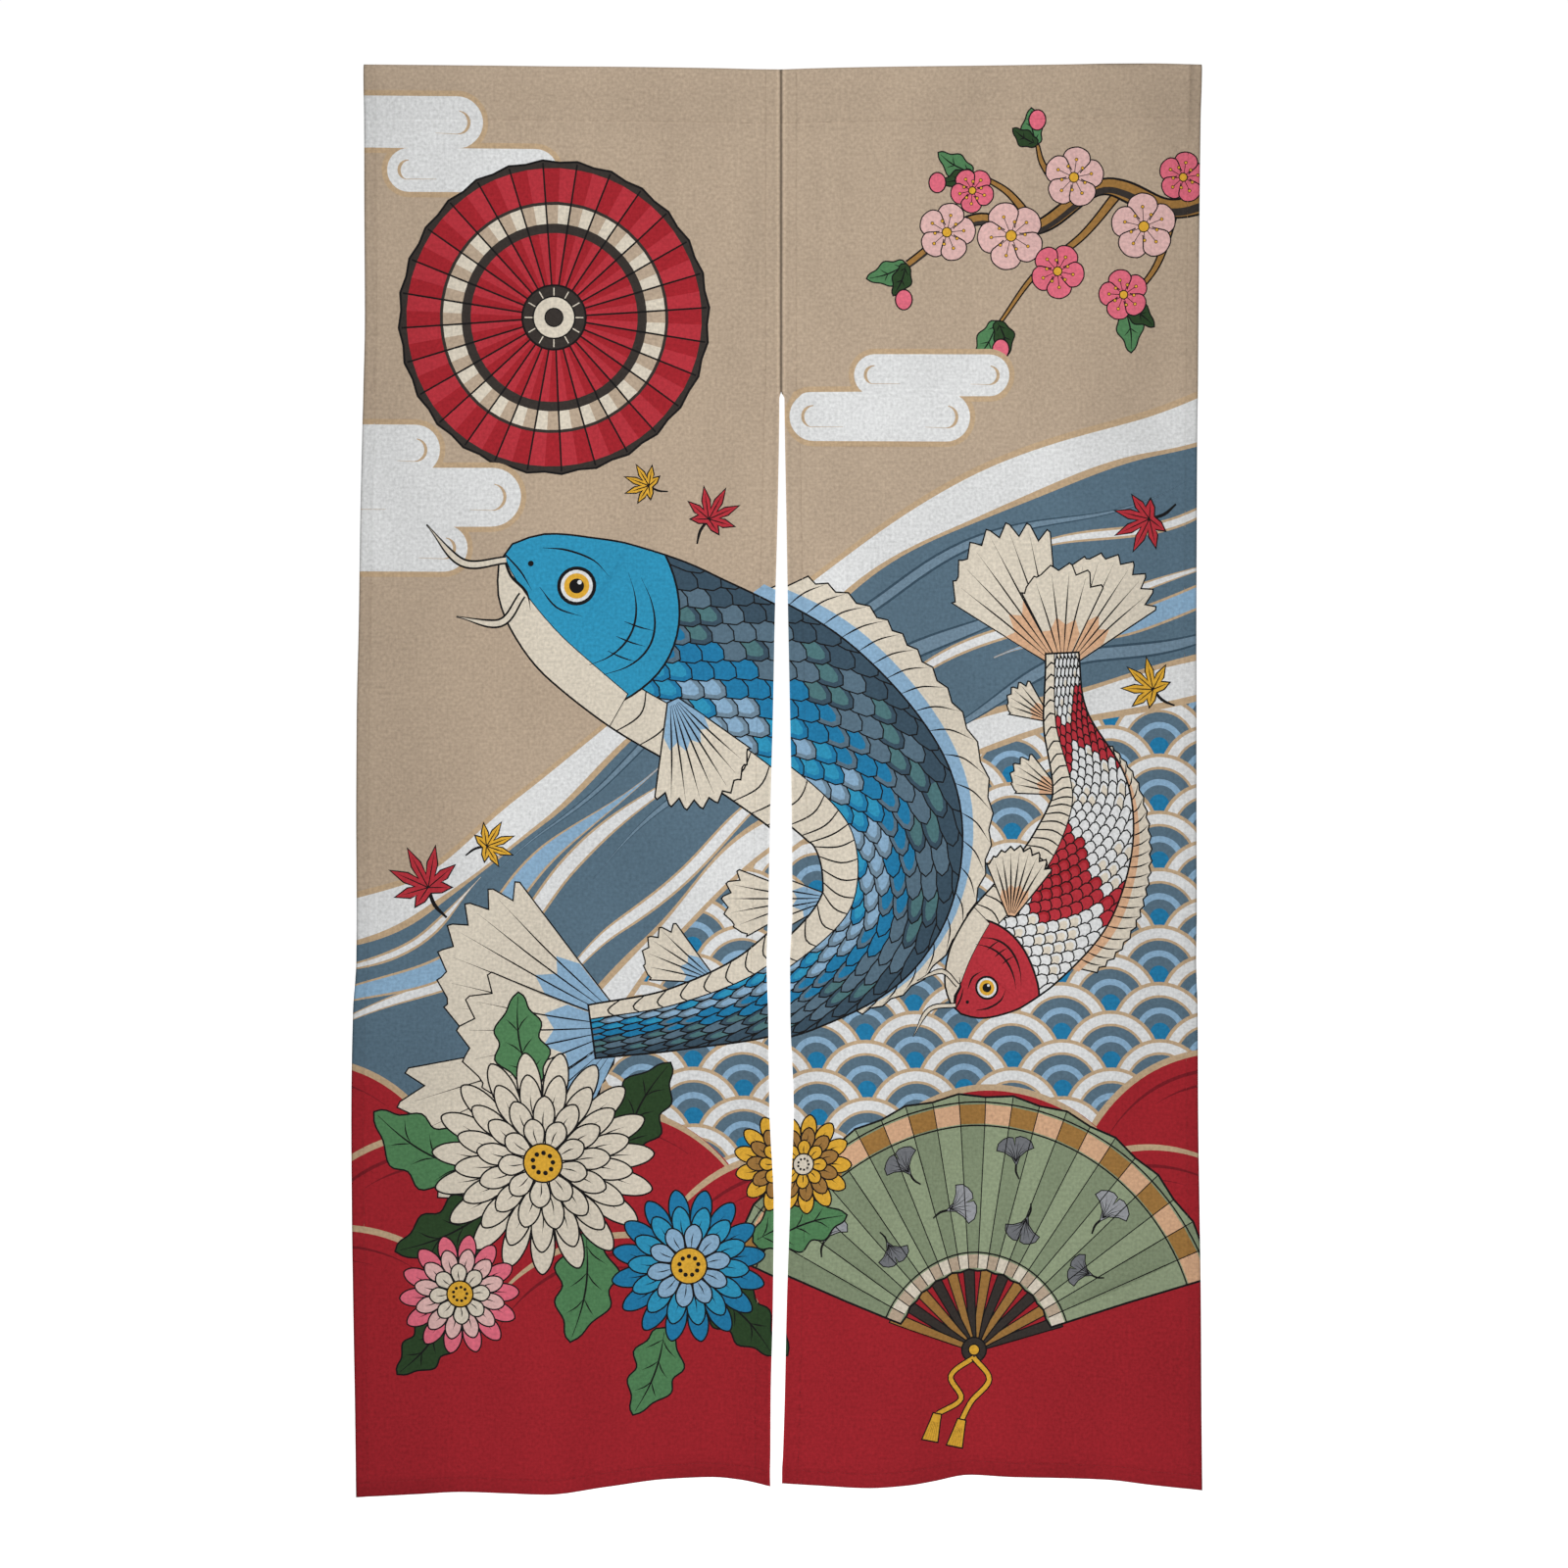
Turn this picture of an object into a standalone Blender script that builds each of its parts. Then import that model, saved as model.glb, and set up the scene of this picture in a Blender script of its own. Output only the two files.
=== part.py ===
"""Noren curtain: a split door curtain of two printed cloths, sewn together above the slit.

X runs across the doorway, Z up, and Y from the front (-Y) to the back. The origin is the middle of the
top edge. Each cloth is one solid with its rod pocket, side hems and foot hem. Lengths are in metres.
"""

import math
from collections import namedtuple

import bmesh
import bpy

CLOTH = 0.0012  # thickness of one layer
HEM_FOLD = 0.0010  # what a hem's folded-over layer adds behind the cloth
SIDE_HEM = 0.014  # width of the hem on a side edge
FOOT_HEM = 0.016  # height of the hem at the foot
HEM_STEP = 0.0004  # width of the step at a hem's inner edge

POCKET_HALF_GAP = 0.0050  # half the depth of the open rod pocket
POCKET_FLOOR = 0.055  # from the top edge down to where the pocket's two layers are stitched
POCKET_FLAP = 0.060  # from the top edge down to the end of the layer folded to the back
POCKET_BELLY = 0.018  # height over which the pocket opens from its stitched floor
POCKET_TIP = 0.0003  # half the gap left at the very floor
POCKET_OUTER = POCKET_HALF_GAP + CLOTH
TOP_ARC_POINTS = 5  # points from the upright wall to the ridge of the top fold
BELLY_POINTS = 4
CUTTER_REACH = 0.010  # how far the pocket's cutter runs past the side edges

SEAM_GAP = 0.0003  # between the two sewn edges
SLIT_TOP = 0.331  # from the top edge down to the start of the slit
SAG_FADE = 0.300  # depth over which the top edge's sag evens out below the pocket
FOLD_MIDDLE = 0.750  # depth at which the table's middle folds hold
FOLD_ONSET = 1.3  # power with which the folds set in below the pocket
LOWEST_ROW = 1.40  # depth of the lowest row above the foot hem
UNDER_SLIT_TOP = 0.030  # depth of the first even row below the slit's top
SLIT_TOP_ROWS = (0.012, 0.004, 0.001, -0.002)  # depths of the close rows about the slit's top
ROW_PITCH = 0.080
COLUMN_PITCH = 0.021
COLOUR_LEFT = (0.36, 0.24, 0.18, 1.0)
COLOUR_RIGHT = (0.38, 0.25, 0.19, 1.0)

# A row for each height: its depth below the origin, and the places of the cloth's two side edges there.
Edge = namedtuple("Edge", "drop left right")
# A row for each fold: its share of the way across, the height of the top edge there, how far the cloth
# stands back (+) or forward (-) at the middle depth and at the foot, and the depth of the foot's edge.
Fold = namedtuple("Fold", "across top middle foot length")
Panel = namedtuple("Panel", "name edges folds colour")

HALF_SEAM = SEAM_GAP / 2

LEFT_EDGES = (
    Edge(-0.007, -0.4254, -HALF_SEAM),
    Edge(0.110, -0.4253, -HALF_SEAM),
    Edge(0.260, -0.4244, -HALF_SEAM),
    Edge(SLIT_TOP - 0.002, -0.4258, -HALF_SEAM),
    Edge(SLIT_TOP + 0.004, -0.4259, -0.0018),
    Edge(0.360, -0.4266, -0.0020),
    Edge(0.460, -0.4288, -0.0038),
    Edge(0.560, -0.4300, -0.0065),
    Edge(0.660, -0.4320, -0.0085),
    Edge(0.760, -0.4323, -0.0113),
    Edge(0.860, -0.4317, -0.0134),
    Edge(0.910, -0.4320, -0.0150),
    Edge(0.960, -0.4353, -0.0134),
    Edge(1.060, -0.4368, -0.0121),
    Edge(1.160, -0.4360, -0.0077),
    Edge(1.260, -0.4343, -0.0086),
    Edge(1.360, -0.4322, -0.0109),
    Edge(1.460, -0.4306, -0.0113),
)
LEFT_FOLDS = (
    Fold(0.00, 0.0051, -0.008, -0.021, 1.452),
    Fold(0.15, 0.0046, -0.003, -0.015, 1.450),
    Fold(0.25, 0.0042, 0.004, -0.010, 1.449),
    Fold(0.36, 0.0037, -0.002, -0.014, 1.4495),
    Fold(0.46, 0.0032, -0.008, -0.018, 1.450),
    Fold(0.60, 0.0028, 0.002, -0.001, 1.446),
    Fold(0.75, 0.0020, 0.009, 0.014, 1.441),
    Fold(0.86, 0.0012, 0.006, 0.018, 1.440),
    Fold(0.93, 0.0004, 0.002, 0.012, 1.4415),
    Fold(1.00, 0.0000, -0.004, -0.002, 1.445),
)

RIGHT_EDGES = (
    Edge(-0.007, HALF_SEAM, 0.4290),
    Edge(0.110, HALF_SEAM, 0.4272),
    Edge(0.260, HALF_SEAM, 0.4256),
    Edge(SLIT_TOP - 0.002, HALF_SEAM, 0.4250),
    Edge(SLIT_TOP + 0.004, 0.0034, 0.4249),
    Edge(0.360, 0.0037, 0.4244),
    Edge(0.460, 0.0055, 0.4237),
    Edge(0.560, 0.0072, 0.4232),
    Edge(0.660, 0.0092, 0.4231),
    Edge(0.760, 0.0109, 0.4230),
    Edge(0.860, 0.0115, 0.4231),
    Edge(0.910, 0.0092, 0.4225),
    Edge(0.960, 0.0093, 0.4240),
    Edge(1.060, 0.0128, 0.4243),
    Edge(1.160, 0.0092, 0.4255),
    Edge(1.260, 0.0058, 0.4267),
    Edge(1.360, 0.0036, 0.4270),
    Edge(1.460, 0.0002, 0.4277),
)
RIGHT_FOLDS = (
    Fold(0.00, 0.0000, -0.003, -0.002, 1.442),
    Fold(0.08, 0.0012, -0.006, -0.007, 1.443),
    Fold(0.21, 0.0025, -0.009, -0.013, 1.4445),
    Fold(0.30, 0.0031, -0.004, -0.008, 1.443),
    Fold(0.36, 0.0034, 0.002, 0.002, 1.441),
    Fold(0.45, 0.0038, 0.009, 0.015, 1.437),
    Fold(0.55, 0.0044, 0.004, 0.009, 1.438),
    Fold(0.68, 0.0052, -0.003, 0.006, 1.4385),
    Fold(0.78, 0.0060, 0.002, 0.003, 1.4395),
    Fold(0.88, 0.0062, 0.003, -0.007, 1.4425),
    Fold(1.00, 0.0050, -0.006, -0.016, 1.446),
)

PANELS = (
    Panel("left_panel", LEFT_EDGES, LEFT_FOLDS, COLOUR_LEFT),
    Panel("right_panel", RIGHT_EDGES, RIGHT_FOLDS, COLOUR_RIGHT),
)


def clear_scene():
    for obj in list(bpy.data.objects):
        bpy.data.objects.remove(obj)


def new_collection(name):
    collection = bpy.data.collections.new(name)
    bpy.context.scene.collection.children.link(collection)
    return collection


def cloth_material(name, colour):
    material = bpy.data.materials.new(name)
    material.use_nodes = True
    shader = material.node_tree.nodes["Principled BSDF"]
    shader.inputs["Base Color"].default_value = colour
    shader.inputs["Roughness"].default_value = 0.9
    shader.inputs["Metallic"].default_value = 0.0
    return material


def slopes_of(places, values):
    """A slope at each point that never carries the curve past its neighbours."""
    runs = [b - a for a, b in zip(places, places[1:])]
    rises = [(b - a) / run for a, b, run in zip(values, values[1:], runs)]
    slopes = [rises[0]]
    for before, after in zip(rises, rises[1:]):
        same_way = before * after > 0
        slopes.append(2 * before * after / (before + after) if same_way else 0.0)
    slopes.append(rises[-1])
    return slopes


def smooth_curve(places, values):
    """A function that runs smoothly through the values at the places."""
    slopes = slopes_of(places, values)

    def value_at(place):
        place = min(max(place, places[0]), places[-1])
        i = max(k for k in range(len(places) - 1) if places[k] <= place)
        run = places[i + 1] - places[i]
        t = (place - places[i]) / run
        ease = t * t * (3 - 2 * t)
        start = run * slopes[i] * t * (1 - t) ** 2
        end = run * slopes[i + 1] * t * t * (t - 1)
        return values[i] * (1 - ease) + values[i + 1] * ease + start + end

    return value_at


class Cloth:
    """Where each point of a hung cloth lies, from its tables of edges and folds."""

    def __init__(self, panel):
        drops = [row.drop for row in panel.edges]
        across = [row.across for row in panel.folds]
        self.left = smooth_curve(drops, [row.left for row in panel.edges])
        self.right = smooth_curve(drops, [row.right for row in panel.edges])
        self.top = smooth_curve(across, [row.top for row in panel.folds])
        self.middle = smooth_curve(across, [row.middle for row in panel.folds])
        self.foot = smooth_curve(across, [row.foot for row in panel.folds])
        self.length = smooth_curve(across, [row.length for row in panel.folds])

    def place(self, across, drop, depth):
        """The point at this share of the width and depth below the top edge, this far behind the fold."""
        sag = self.top(across) * max(0.0, 1 - max(0.0, drop - POCKET_FLAP) / SAG_FADE)
        left, right = self.left(drop), self.right(drop)
        return (left + (right - left) * across, self.fold(across, drop) + depth, sag - drop)

    def fold(self, across, drop):
        """How far back the cloth hangs: not at all at the pocket, then by the tables' folds."""
        upper = (drop - POCKET_FLAP) / (FOLD_MIDDLE - POCKET_FLAP)
        if upper <= 0:
            return 0.0
        if upper <= 1:
            return self.middle(across) * upper ** FOLD_ONSET
        lower = (drop - FOLD_MIDDLE) / (self.length(across) - FOLD_MIDDLE)
        ease = lower * (1 + lower) / 2
        return self.middle(across) * (1 - ease) + self.foot(across) * ease

    def shares(self):
        """The columns' shares of the way across, with the steps of both side hems."""
        width = self.right(0) - self.left(0)
        hem, step = SIDE_HEM / width, HEM_STEP / width
        inner_count = round((width - 2 * SIDE_HEM) / COLUMN_PITCH)
        first, last = hem + step, 1 - hem - step
        inner = [first + (last - first) * k / inner_count for k in range(inner_count + 1)]
        return [0.0, hem / 2, hem] + inner + [1 - hem, 1 - hem / 2, 1.0]

    def hemmed(self, across):
        width = self.right(0) - self.left(0)
        return min(across, 1 - across) * width < SIDE_HEM + HEM_STEP / 2


def half_gap(drop):
    """Half the pocket's open depth at this distance below the top edge, under the top fold's arc."""
    open_share = min(1.0, max(0.0, (POCKET_FLOOR - drop) / POCKET_BELLY))
    ease = open_share * open_share * (3 - 2 * open_share)
    return POCKET_TIP + (POCKET_HALF_GAP - POCKET_TIP) * ease


def pocket_wall(radius):
    """(drop, half depth) from the pocket's floor up to the top fold's ridge, for one face of the cloth."""
    extra = radius - POCKET_HALF_GAP
    wall = []
    for k in range(BELLY_POINTS + 1):
        drop = POCKET_FLOOR - POCKET_BELLY * k / BELLY_POINTS
        wall.append((drop, half_gap(drop) + extra))
    for k in range(TOP_ARC_POINTS + 1):
        angle = math.pi / 2 * k / TOP_ARC_POINTS
        wall.append((POCKET_OUTER - radius * math.sin(angle), radius * math.cos(angle)))
    return wall


def section(cloth, across):
    """The cloth's front and back faces at one column, from the foot up to the ridge of the top fold."""
    length = cloth.length(across)
    hem = HEM_FOLD if cloth.hemmed(across) else 0.0
    slit_run = LOWEST_ROW - SLIT_TOP - UNDER_SLIT_TOP
    slit_count = round(slit_run / ROW_PITCH)
    drops = [LOWEST_ROW - slit_run * k / slit_count for k in range(slit_count + 1)]
    drops += [SLIT_TOP + offset for offset in SLIT_TOP_ROWS]
    seam_run = SLIT_TOP - POCKET_FLAP
    seam_count = round(seam_run / ROW_PITCH)
    drops += [SLIT_TOP - seam_run * k / seam_count for k in range(1, seam_count)]
    rows = [(length, HEM_FOLD), (length - FOOT_HEM, HEM_FOLD), (length - FOOT_HEM - HEM_STEP, hem)]
    rows += [(drop, hem) for drop in drops]
    rows += [(POCKET_FLAP + HEM_STEP, hem), (POCKET_FLAP, CLOTH)]
    front = [cloth.place(across, drop, -CLOTH) for drop, _ in rows]
    back = [cloth.place(across, drop, extra) for drop, extra in rows]
    for drop, depth in pocket_wall(POCKET_OUTER):
        front.append(cloth.place(across, drop, -depth))
        back.append(cloth.place(across, drop, depth))
    return front, back


def lofted(name, rings, caps_follow_rows):
    """A closed mesh through rings of points. Its ends are flat, or join a front's rows to a back's."""
    bm = bmesh.new()
    made = [[bm.verts.new(point) for point in ring] for ring in rings]
    count = len(rings[0])
    for here, there in zip(made, made[1:]):
        for k in range(count):
            after = (k + 1) % count
            bm.faces.new((here[k], here[after], there[after], there[k]))
    for ring in (made[0], made[-1]):
        if not caps_follow_rows:
            bm.faces.new(ring)
            continue
        for k in range(count // 2 - 1):
            bm.faces.new((ring[k], ring[k + 1], ring[count - 2 - k], ring[count - 1 - k]))
    bmesh.ops.remove_doubles(bm, verts=bm.verts, dist=1e-6)
    bmesh.ops.recalc_face_normals(bm, faces=bm.faces)
    mesh = bpy.data.meshes.new(name)
    bm.to_mesh(mesh)
    bm.free()
    return mesh


def cloth_mesh(panel, cloth):
    rings = []
    for across in cloth.shares():
        front, back = section(cloth, across)
        rings.append(front + back[::-1])
    return lofted(panel.name, rings, caps_follow_rows=True)


def pocket_cutter(panel, cloth, collection):
    """The pocket's open inside, running past both side edges."""
    shares = cloth.shares()
    wall = pocket_wall(POCKET_HALF_GAP)
    profile = [(drop, -depth) for drop, depth in wall] + [(drop, depth) for drop, depth in wall[-2::-1]]
    rings = []
    for across in shares:
        rings.append([cloth.place(across, drop, depth) for drop, depth in profile])
    rings[0] = [(cloth.left(0) - CUTTER_REACH, y, z) for _, y, z in rings[0]]
    rings[-1] = [(cloth.right(0) + CUTTER_REACH, y, z) for _, y, z in rings[-1]]
    tunnel = lofted("pocket", rings, caps_follow_rows=False)
    cutter = bpy.data.objects.new(panel.name + "_pocket_cutter", tunnel)
    cutter.hide_render = True
    cutter.display_type = "WIRE"
    collection.objects.link(cutter)
    return cutter


def build_panel(panel, parts, cutters):
    cloth = Cloth(panel)
    obj = bpy.data.objects.new(panel.name, cloth_mesh(panel, cloth))
    obj.data.materials.append(cloth_material(panel.name + "_cloth", panel.colour))
    parts.objects.link(obj)
    opening = obj.modifiers.new("rod pocket", "BOOLEAN")
    opening.operation = "DIFFERENCE"
    opening.solver = "EXACT"
    opening.object = pocket_cutter(panel, cloth, cutters)


def main():
    clear_scene()
    parts = new_collection("noren_curtain")
    cutters = new_collection("cutters")
    for panel in PANELS:
        build_panel(panel, parts, cutters)


main()
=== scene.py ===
"""The looks of a noren curtain: two printed cloths with their folds, rod pocket, hems and sewing.

Lengths are in metres. The printed design alone is drawn in millimetres, with x across from the seam and y up
from the ridge of the top fold, as the front shows it.
"""

import math
import random
from collections import namedtuple

import bpy
import numpy as np
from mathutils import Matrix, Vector
from mathutils.geometry import delaunay_2d_cdt


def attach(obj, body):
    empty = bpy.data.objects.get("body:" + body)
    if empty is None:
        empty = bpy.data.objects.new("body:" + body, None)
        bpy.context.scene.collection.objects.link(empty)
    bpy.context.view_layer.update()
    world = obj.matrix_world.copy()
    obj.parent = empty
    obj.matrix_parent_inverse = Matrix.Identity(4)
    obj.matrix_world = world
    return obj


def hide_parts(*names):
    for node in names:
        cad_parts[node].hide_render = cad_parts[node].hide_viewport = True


MM = 0.001

# The hung cloth

CLOTH_FACE = 0.0012  # from the fold's plane to the printed face
CLOTH = 0.0008  # thickness of one layer
HEM_FOLD = 0.0009  # what a hem's folded-over layer adds behind the cloth
SIDE_HEM = 0.014
FOOT_HEM = 0.016
HEM_STEP = 0.0006
HEM_STITCH = 0.0122  # from a side edge to its hem's stitching
SEAM_HEM_EXTRA = 0.0035  # how much wider the hem beside the seam is
FOOT_STITCH = 0.0142  # from the foot's edge to its hem's stitching

POCKET_HALF_GAP = 0.0050
POCKET_FLOOR = 0.055  # from the top edge down to the pocket's floor
POCKET_STITCH = 0.0552  # from the top edge down to the stitching that closes the pocket
POCKET_FLAP = 0.060  # from the top edge down to the end of the layer folded to the back
POCKET_BELLY = 0.040  # height over which the pocket opens from its floor
POCKET_TIP = 0.0003  # half the gap left at the very floor
POCKET_OUTER = POCKET_HALF_GAP + CLOTH_FACE
QUARTER = POCKET_OUTER * math.pi / 2  # run of the cloth over half of the top fold
FOLD_RUN = QUARTER - POCKET_OUTER  # how much longer the cloth's run is than its drop below the top fold
FLAP_HEM = 0.008  # the turned-under end of the flap

SLIT_TOP = 0.331  # from the top edge down to the start of the slit
SAG_FADE = 0.300  # depth over which the top edge's sag evens out below the pocket
FOLD_MIDDLE = 0.750  # depth at which the middle values of the folds hold
FOLD_ONSET = 1.3  # power with which the folds set in below the pocket
HALF_SEAM = 0.00015  # half the gap between the two sewn edges

# Runs of the cloth from the ridge of its top fold.
FLAP_RUN = POCKET_FLAP + FOLD_RUN
STITCH_RUN = POCKET_STITCH + FOLD_RUN
SLIT_RUN = SLIT_TOP + FOLD_RUN

# A row for each height: its depth below the ridge, and the places of the cloth's two side edges there.
Edge = namedtuple("Edge", "drop left right")
# A row for each fold: its share of the way across, the height of the top edge there, how far the cloth stands
# back (+) or forward (-) at the middle depth and at the foot, and the depth of the foot's edge.
Fold = namedtuple("Fold", "across top middle foot length")
Crease = namedtuple("Crease", "x drop to_x to_drop depth width")
Panel = namedtuple("Panel", "name node slot low high edges folds creases")
Path = namedtuple("Path", "points outward dye")
# A line of painted shade along an edge, painted highlight where its strength is below 0: how much darker it
# is, how far from the edge it runs, and how far it reaches.
Line = namedtuple("Line", "strength place reach")

LEFT_EDGES = (
    Edge(-0.007, -0.4254, -HALF_SEAM),
    Edge(0.110, -0.4253, -HALF_SEAM),
    Edge(0.260, -0.4244, -HALF_SEAM),
    Edge(SLIT_TOP - 0.002, -0.4258, -HALF_SEAM),
    Edge(SLIT_TOP + 0.004, -0.4259, -0.0018),
    Edge(0.360, -0.4266, -0.0020),
    Edge(0.460, -0.4288, -0.0038),
    Edge(0.560, -0.4300, -0.0065),
    Edge(0.660, -0.4320, -0.0085),
    Edge(0.760, -0.4323, -0.0113),
    Edge(0.860, -0.4317, -0.0134),
    Edge(0.910, -0.4320, -0.0150),
    Edge(0.960, -0.4353, -0.0134),
    Edge(1.060, -0.4368, -0.0121),
    Edge(1.160, -0.4360, -0.0077),
    Edge(1.260, -0.4343, -0.0086),
    Edge(1.360, -0.4322, -0.0109),
    Edge(1.460, -0.4306, -0.0113),
)
LEFT_FOLDS = (
    Fold(0.00, 0.0051, -0.008, -0.021, 1.452),
    Fold(0.15, 0.0046, -0.003, -0.015, 1.450),
    Fold(0.25, 0.0042, 0.004, -0.010, 1.449),
    Fold(0.36, 0.0037, -0.002, -0.014, 1.4495),
    Fold(0.46, 0.0032, -0.008, -0.018, 1.450),
    Fold(0.60, 0.0028, 0.002, -0.001, 1.446),
    Fold(0.75, 0.0020, 0.009, 0.014, 1.441),
    Fold(0.86, 0.0012, 0.006, 0.018, 1.440),
    Fold(0.93, 0.0004, 0.002, 0.012, 1.4415),
    Fold(1.00, 0.0000, -0.004, -0.002, 1.445),
)
RIGHT_EDGES = (
    Edge(-0.007, HALF_SEAM, 0.4290),
    Edge(0.110, HALF_SEAM, 0.4272),
    Edge(0.260, HALF_SEAM, 0.4256),
    Edge(SLIT_TOP - 0.002, HALF_SEAM, 0.4250),
    Edge(SLIT_TOP + 0.004, 0.0034, 0.4249),
    Edge(0.360, 0.0037, 0.4244),
    Edge(0.460, 0.0055, 0.4237),
    Edge(0.560, 0.0072, 0.4232),
    Edge(0.660, 0.0092, 0.4231),
    Edge(0.760, 0.0109, 0.4230),
    Edge(0.860, 0.0115, 0.4231),
    Edge(0.910, 0.0092, 0.4225),
    Edge(0.960, 0.0093, 0.4240),
    Edge(1.060, 0.0128, 0.4243),
    Edge(1.160, 0.0092, 0.4255),
    Edge(1.260, 0.0058, 0.4267),
    Edge(1.360, 0.0036, 0.4270),
    Edge(1.460, 0.0002, 0.4277),
)
RIGHT_FOLDS = (
    Fold(0.00, 0.0000, -0.003, -0.002, 1.442),
    Fold(0.08, 0.0012, -0.006, -0.007, 1.443),
    Fold(0.21, 0.0025, -0.009, -0.013, 1.4445),
    Fold(0.30, 0.0031, -0.004, -0.008, 1.443),
    Fold(0.36, 0.0034, 0.002, 0.002, 1.441),
    Fold(0.45, 0.0038, 0.009, 0.015, 1.437),
    Fold(0.55, 0.0044, 0.004, 0.009, 1.438),
    Fold(0.68, 0.0052, -0.003, 0.006, 1.4385),
    Fold(0.78, 0.0060, 0.002, 0.003, 1.4395),
    Fold(0.88, 0.0062, 0.003, -0.007, 1.4425),
    Fold(1.00, 0.0050, -0.006, -0.016, 1.446),
)
# Soft troughs (+) and ridges (-) between two points of the cloth.
LEFT_CREASES = (
    Crease(-0.395, 0.075, -0.350, 0.420, 0.0016, 0.016),
    Crease(-0.290, 0.070, -0.300, 0.300, -0.0010, 0.014),
    Crease(-0.170, 0.068, -0.150, 0.360, 0.0012, 0.018),
    Crease(-0.060, 0.068, -0.050, 0.330, -0.0012, 0.016),
    Crease(-0.030, 0.360, -0.110, 0.700, 0.0020, 0.022),
    Crease(-0.340, 0.520, -0.330, 1.000, -0.0022, 0.024),
    Crease(-0.250, 0.700, -0.225, 1.200, 0.0024, 0.026),
    Crease(-0.120, 0.850, -0.130, 1.350, -0.0020, 0.022),
)
RIGHT_CREASES = (
    Crease(0.040, 0.068, 0.060, 0.310, 0.0014, 0.017),
    Crease(0.150, 0.070, 0.140, 0.330, -0.0011, 0.015),
    Crease(0.270, 0.068, 0.290, 0.400, 0.0013, 0.018),
    Crease(0.385, 0.072, 0.360, 0.380, -0.0013, 0.015),
    Crease(0.035, 0.370, 0.120, 0.760, -0.0018, 0.022),
    Crease(0.225, 0.600, 0.235, 1.080, 0.0024, 0.026),
    Crease(0.330, 0.760, 0.345, 1.260, -0.0020, 0.024),
    Crease(0.110, 0.920, 0.100, 1.400, 0.0018, 0.020),
)

LEFT_WIDTH = 0.4254
RIGHT_WIDTH = 0.4290
PANELS = (
    Panel(
        "left_cloth", "left_panel", "left_cloth", -LEFT_WIDTH, 0.0, LEFT_EDGES, LEFT_FOLDS, LEFT_CREASES
    ),
    Panel(
        "right_cloth", "right_panel", "right_cloth", 0.0, RIGHT_WIDTH, RIGHT_EDGES, RIGHT_FOLDS, RIGHT_CREASES
    ),
)

GRID_PITCH = 0.0125  # spacing of the cloth's own points, between those of the print
LINE_PITCH = 0.0075  # spacing of the points along hems and stitch lines
STITCH_TROUGH = 0.00035  # how deep a line of stitching draws the cloth in
STITCH_TROUGH_WIDTH = 0.0014
PUCKER_DEPTH = 0.0007
PUCKER_RUN = 0.019  # from one pucker to the next along a stitch line
PUCKER_REACH = 0.011  # how far to each side of its stitch line a pucker runs
GATHER_DEPTH = 0.0006
GATHER_REACH = 0.16  # how far below the pocket the gathers fade out
GATHER_ONSET = 0.02  # depth over which they set in
PUCKER_ONSET = 0.01  # depth over which the side hems' puckers set in below the pocket
HEM_ONSET = 0.002  # depth over which the side hems set in below the pocket

BACK_PALENESS = 0.66  # how little of the dye comes through to the back
BARE_CLOTH = (186, 176, 160)
THREAD_TINT = (0.90, 0.89, 0.88)  # what printed thread keeps of the dye beside it
# Dark brown of the seam's cord: its thread, dark enough to stand in also for the painted shadow in the gap
# between the two cloths.
SEAM_THREAD_AND_SHADOW = (66, 42, 22)
# Painted shadow in the seam's gap, painted highlight (below 0) on its rolled ridges, and painted shade in the
# dips beside them.
SEAM_SHADES = (Line(0.68, 0.0, 0.0012), Line(-0.20, 0.0031, 0.0013), Line(0.06, 0.0068, 0.0024))
SLIT_PALER = 0.003  # how much farther off the seam's shade counts along the slit
# Painted shade along the outer side edge: a dark edge line, its softer spread, a band beside the hem's
# stitching, and a broad painted falloff of light over the outer tenth of a metre.
SIDE_SHADES = (
    Line(0.44, 0.0, 0.0015),
    Line(0.06, 0.0, 0.0060),
    Line(0.06, 0.0090, 0.0030),
    Line(0.10, 0.0, 0.1100),
)
# Painted shade along the foot: a dark edge line and a faint line at the hem's stitching.
FOOT_SHADES = (Line(0.26, 0.0, 0.0013), Line(0.02, FOOT_STITCH, 0.0030))
# Painted shade above and below the pocket's stitch line, and a painted highlight (below 0) on it.
POCKET_SHADES = (
    Line(0.025, POCKET_STITCH - 0.0026, 0.0018),
    Line(-0.045, POCKET_STITCH, 0.0014),
    Line(0.025, POCKET_STITCH + 0.0048, 0.0030),
)
# Painted shade along the ridge of the top fold.
RIDGE_SHADE = Line(0.14, 0.0, 0.0050)
RIDGE_GAPE_SHADOW = Line(0.60, 0.346, 0.030)  # painted shadow in the gap at the top of the right cloth's pocket: how much darker it is, where across, and how far it reaches
CORNER_SHADE = Line(0.20, 0.0105, 0.0024)  # painted shade in the side hem's sunk line, strongest over the right cloth's pocket
CORNER_DROP = 0.110  # from the top edge down to where that line has faded
FOOT_SHADE_BAND = 0.15  # how much darker the painted shade over the doubled cloth of the foot hem is where it is darkest
FOOT_BAND_TOP = 0.0200  # from the foot's edge up to where that band ends
FOOT_BAND_FADE = 0.011  # height over which it fades out there
HEM_SHOW_THROUGH = 0.15  # how bare the turned-over hems look, beside 1 on the back of the cloth
RIM_SHOW_THROUGH = 0.2  # the same of the cloth's cut edges
SURFACE_STEP = 0.0004  # the step to each side over which the cloth's slope is taken

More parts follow.
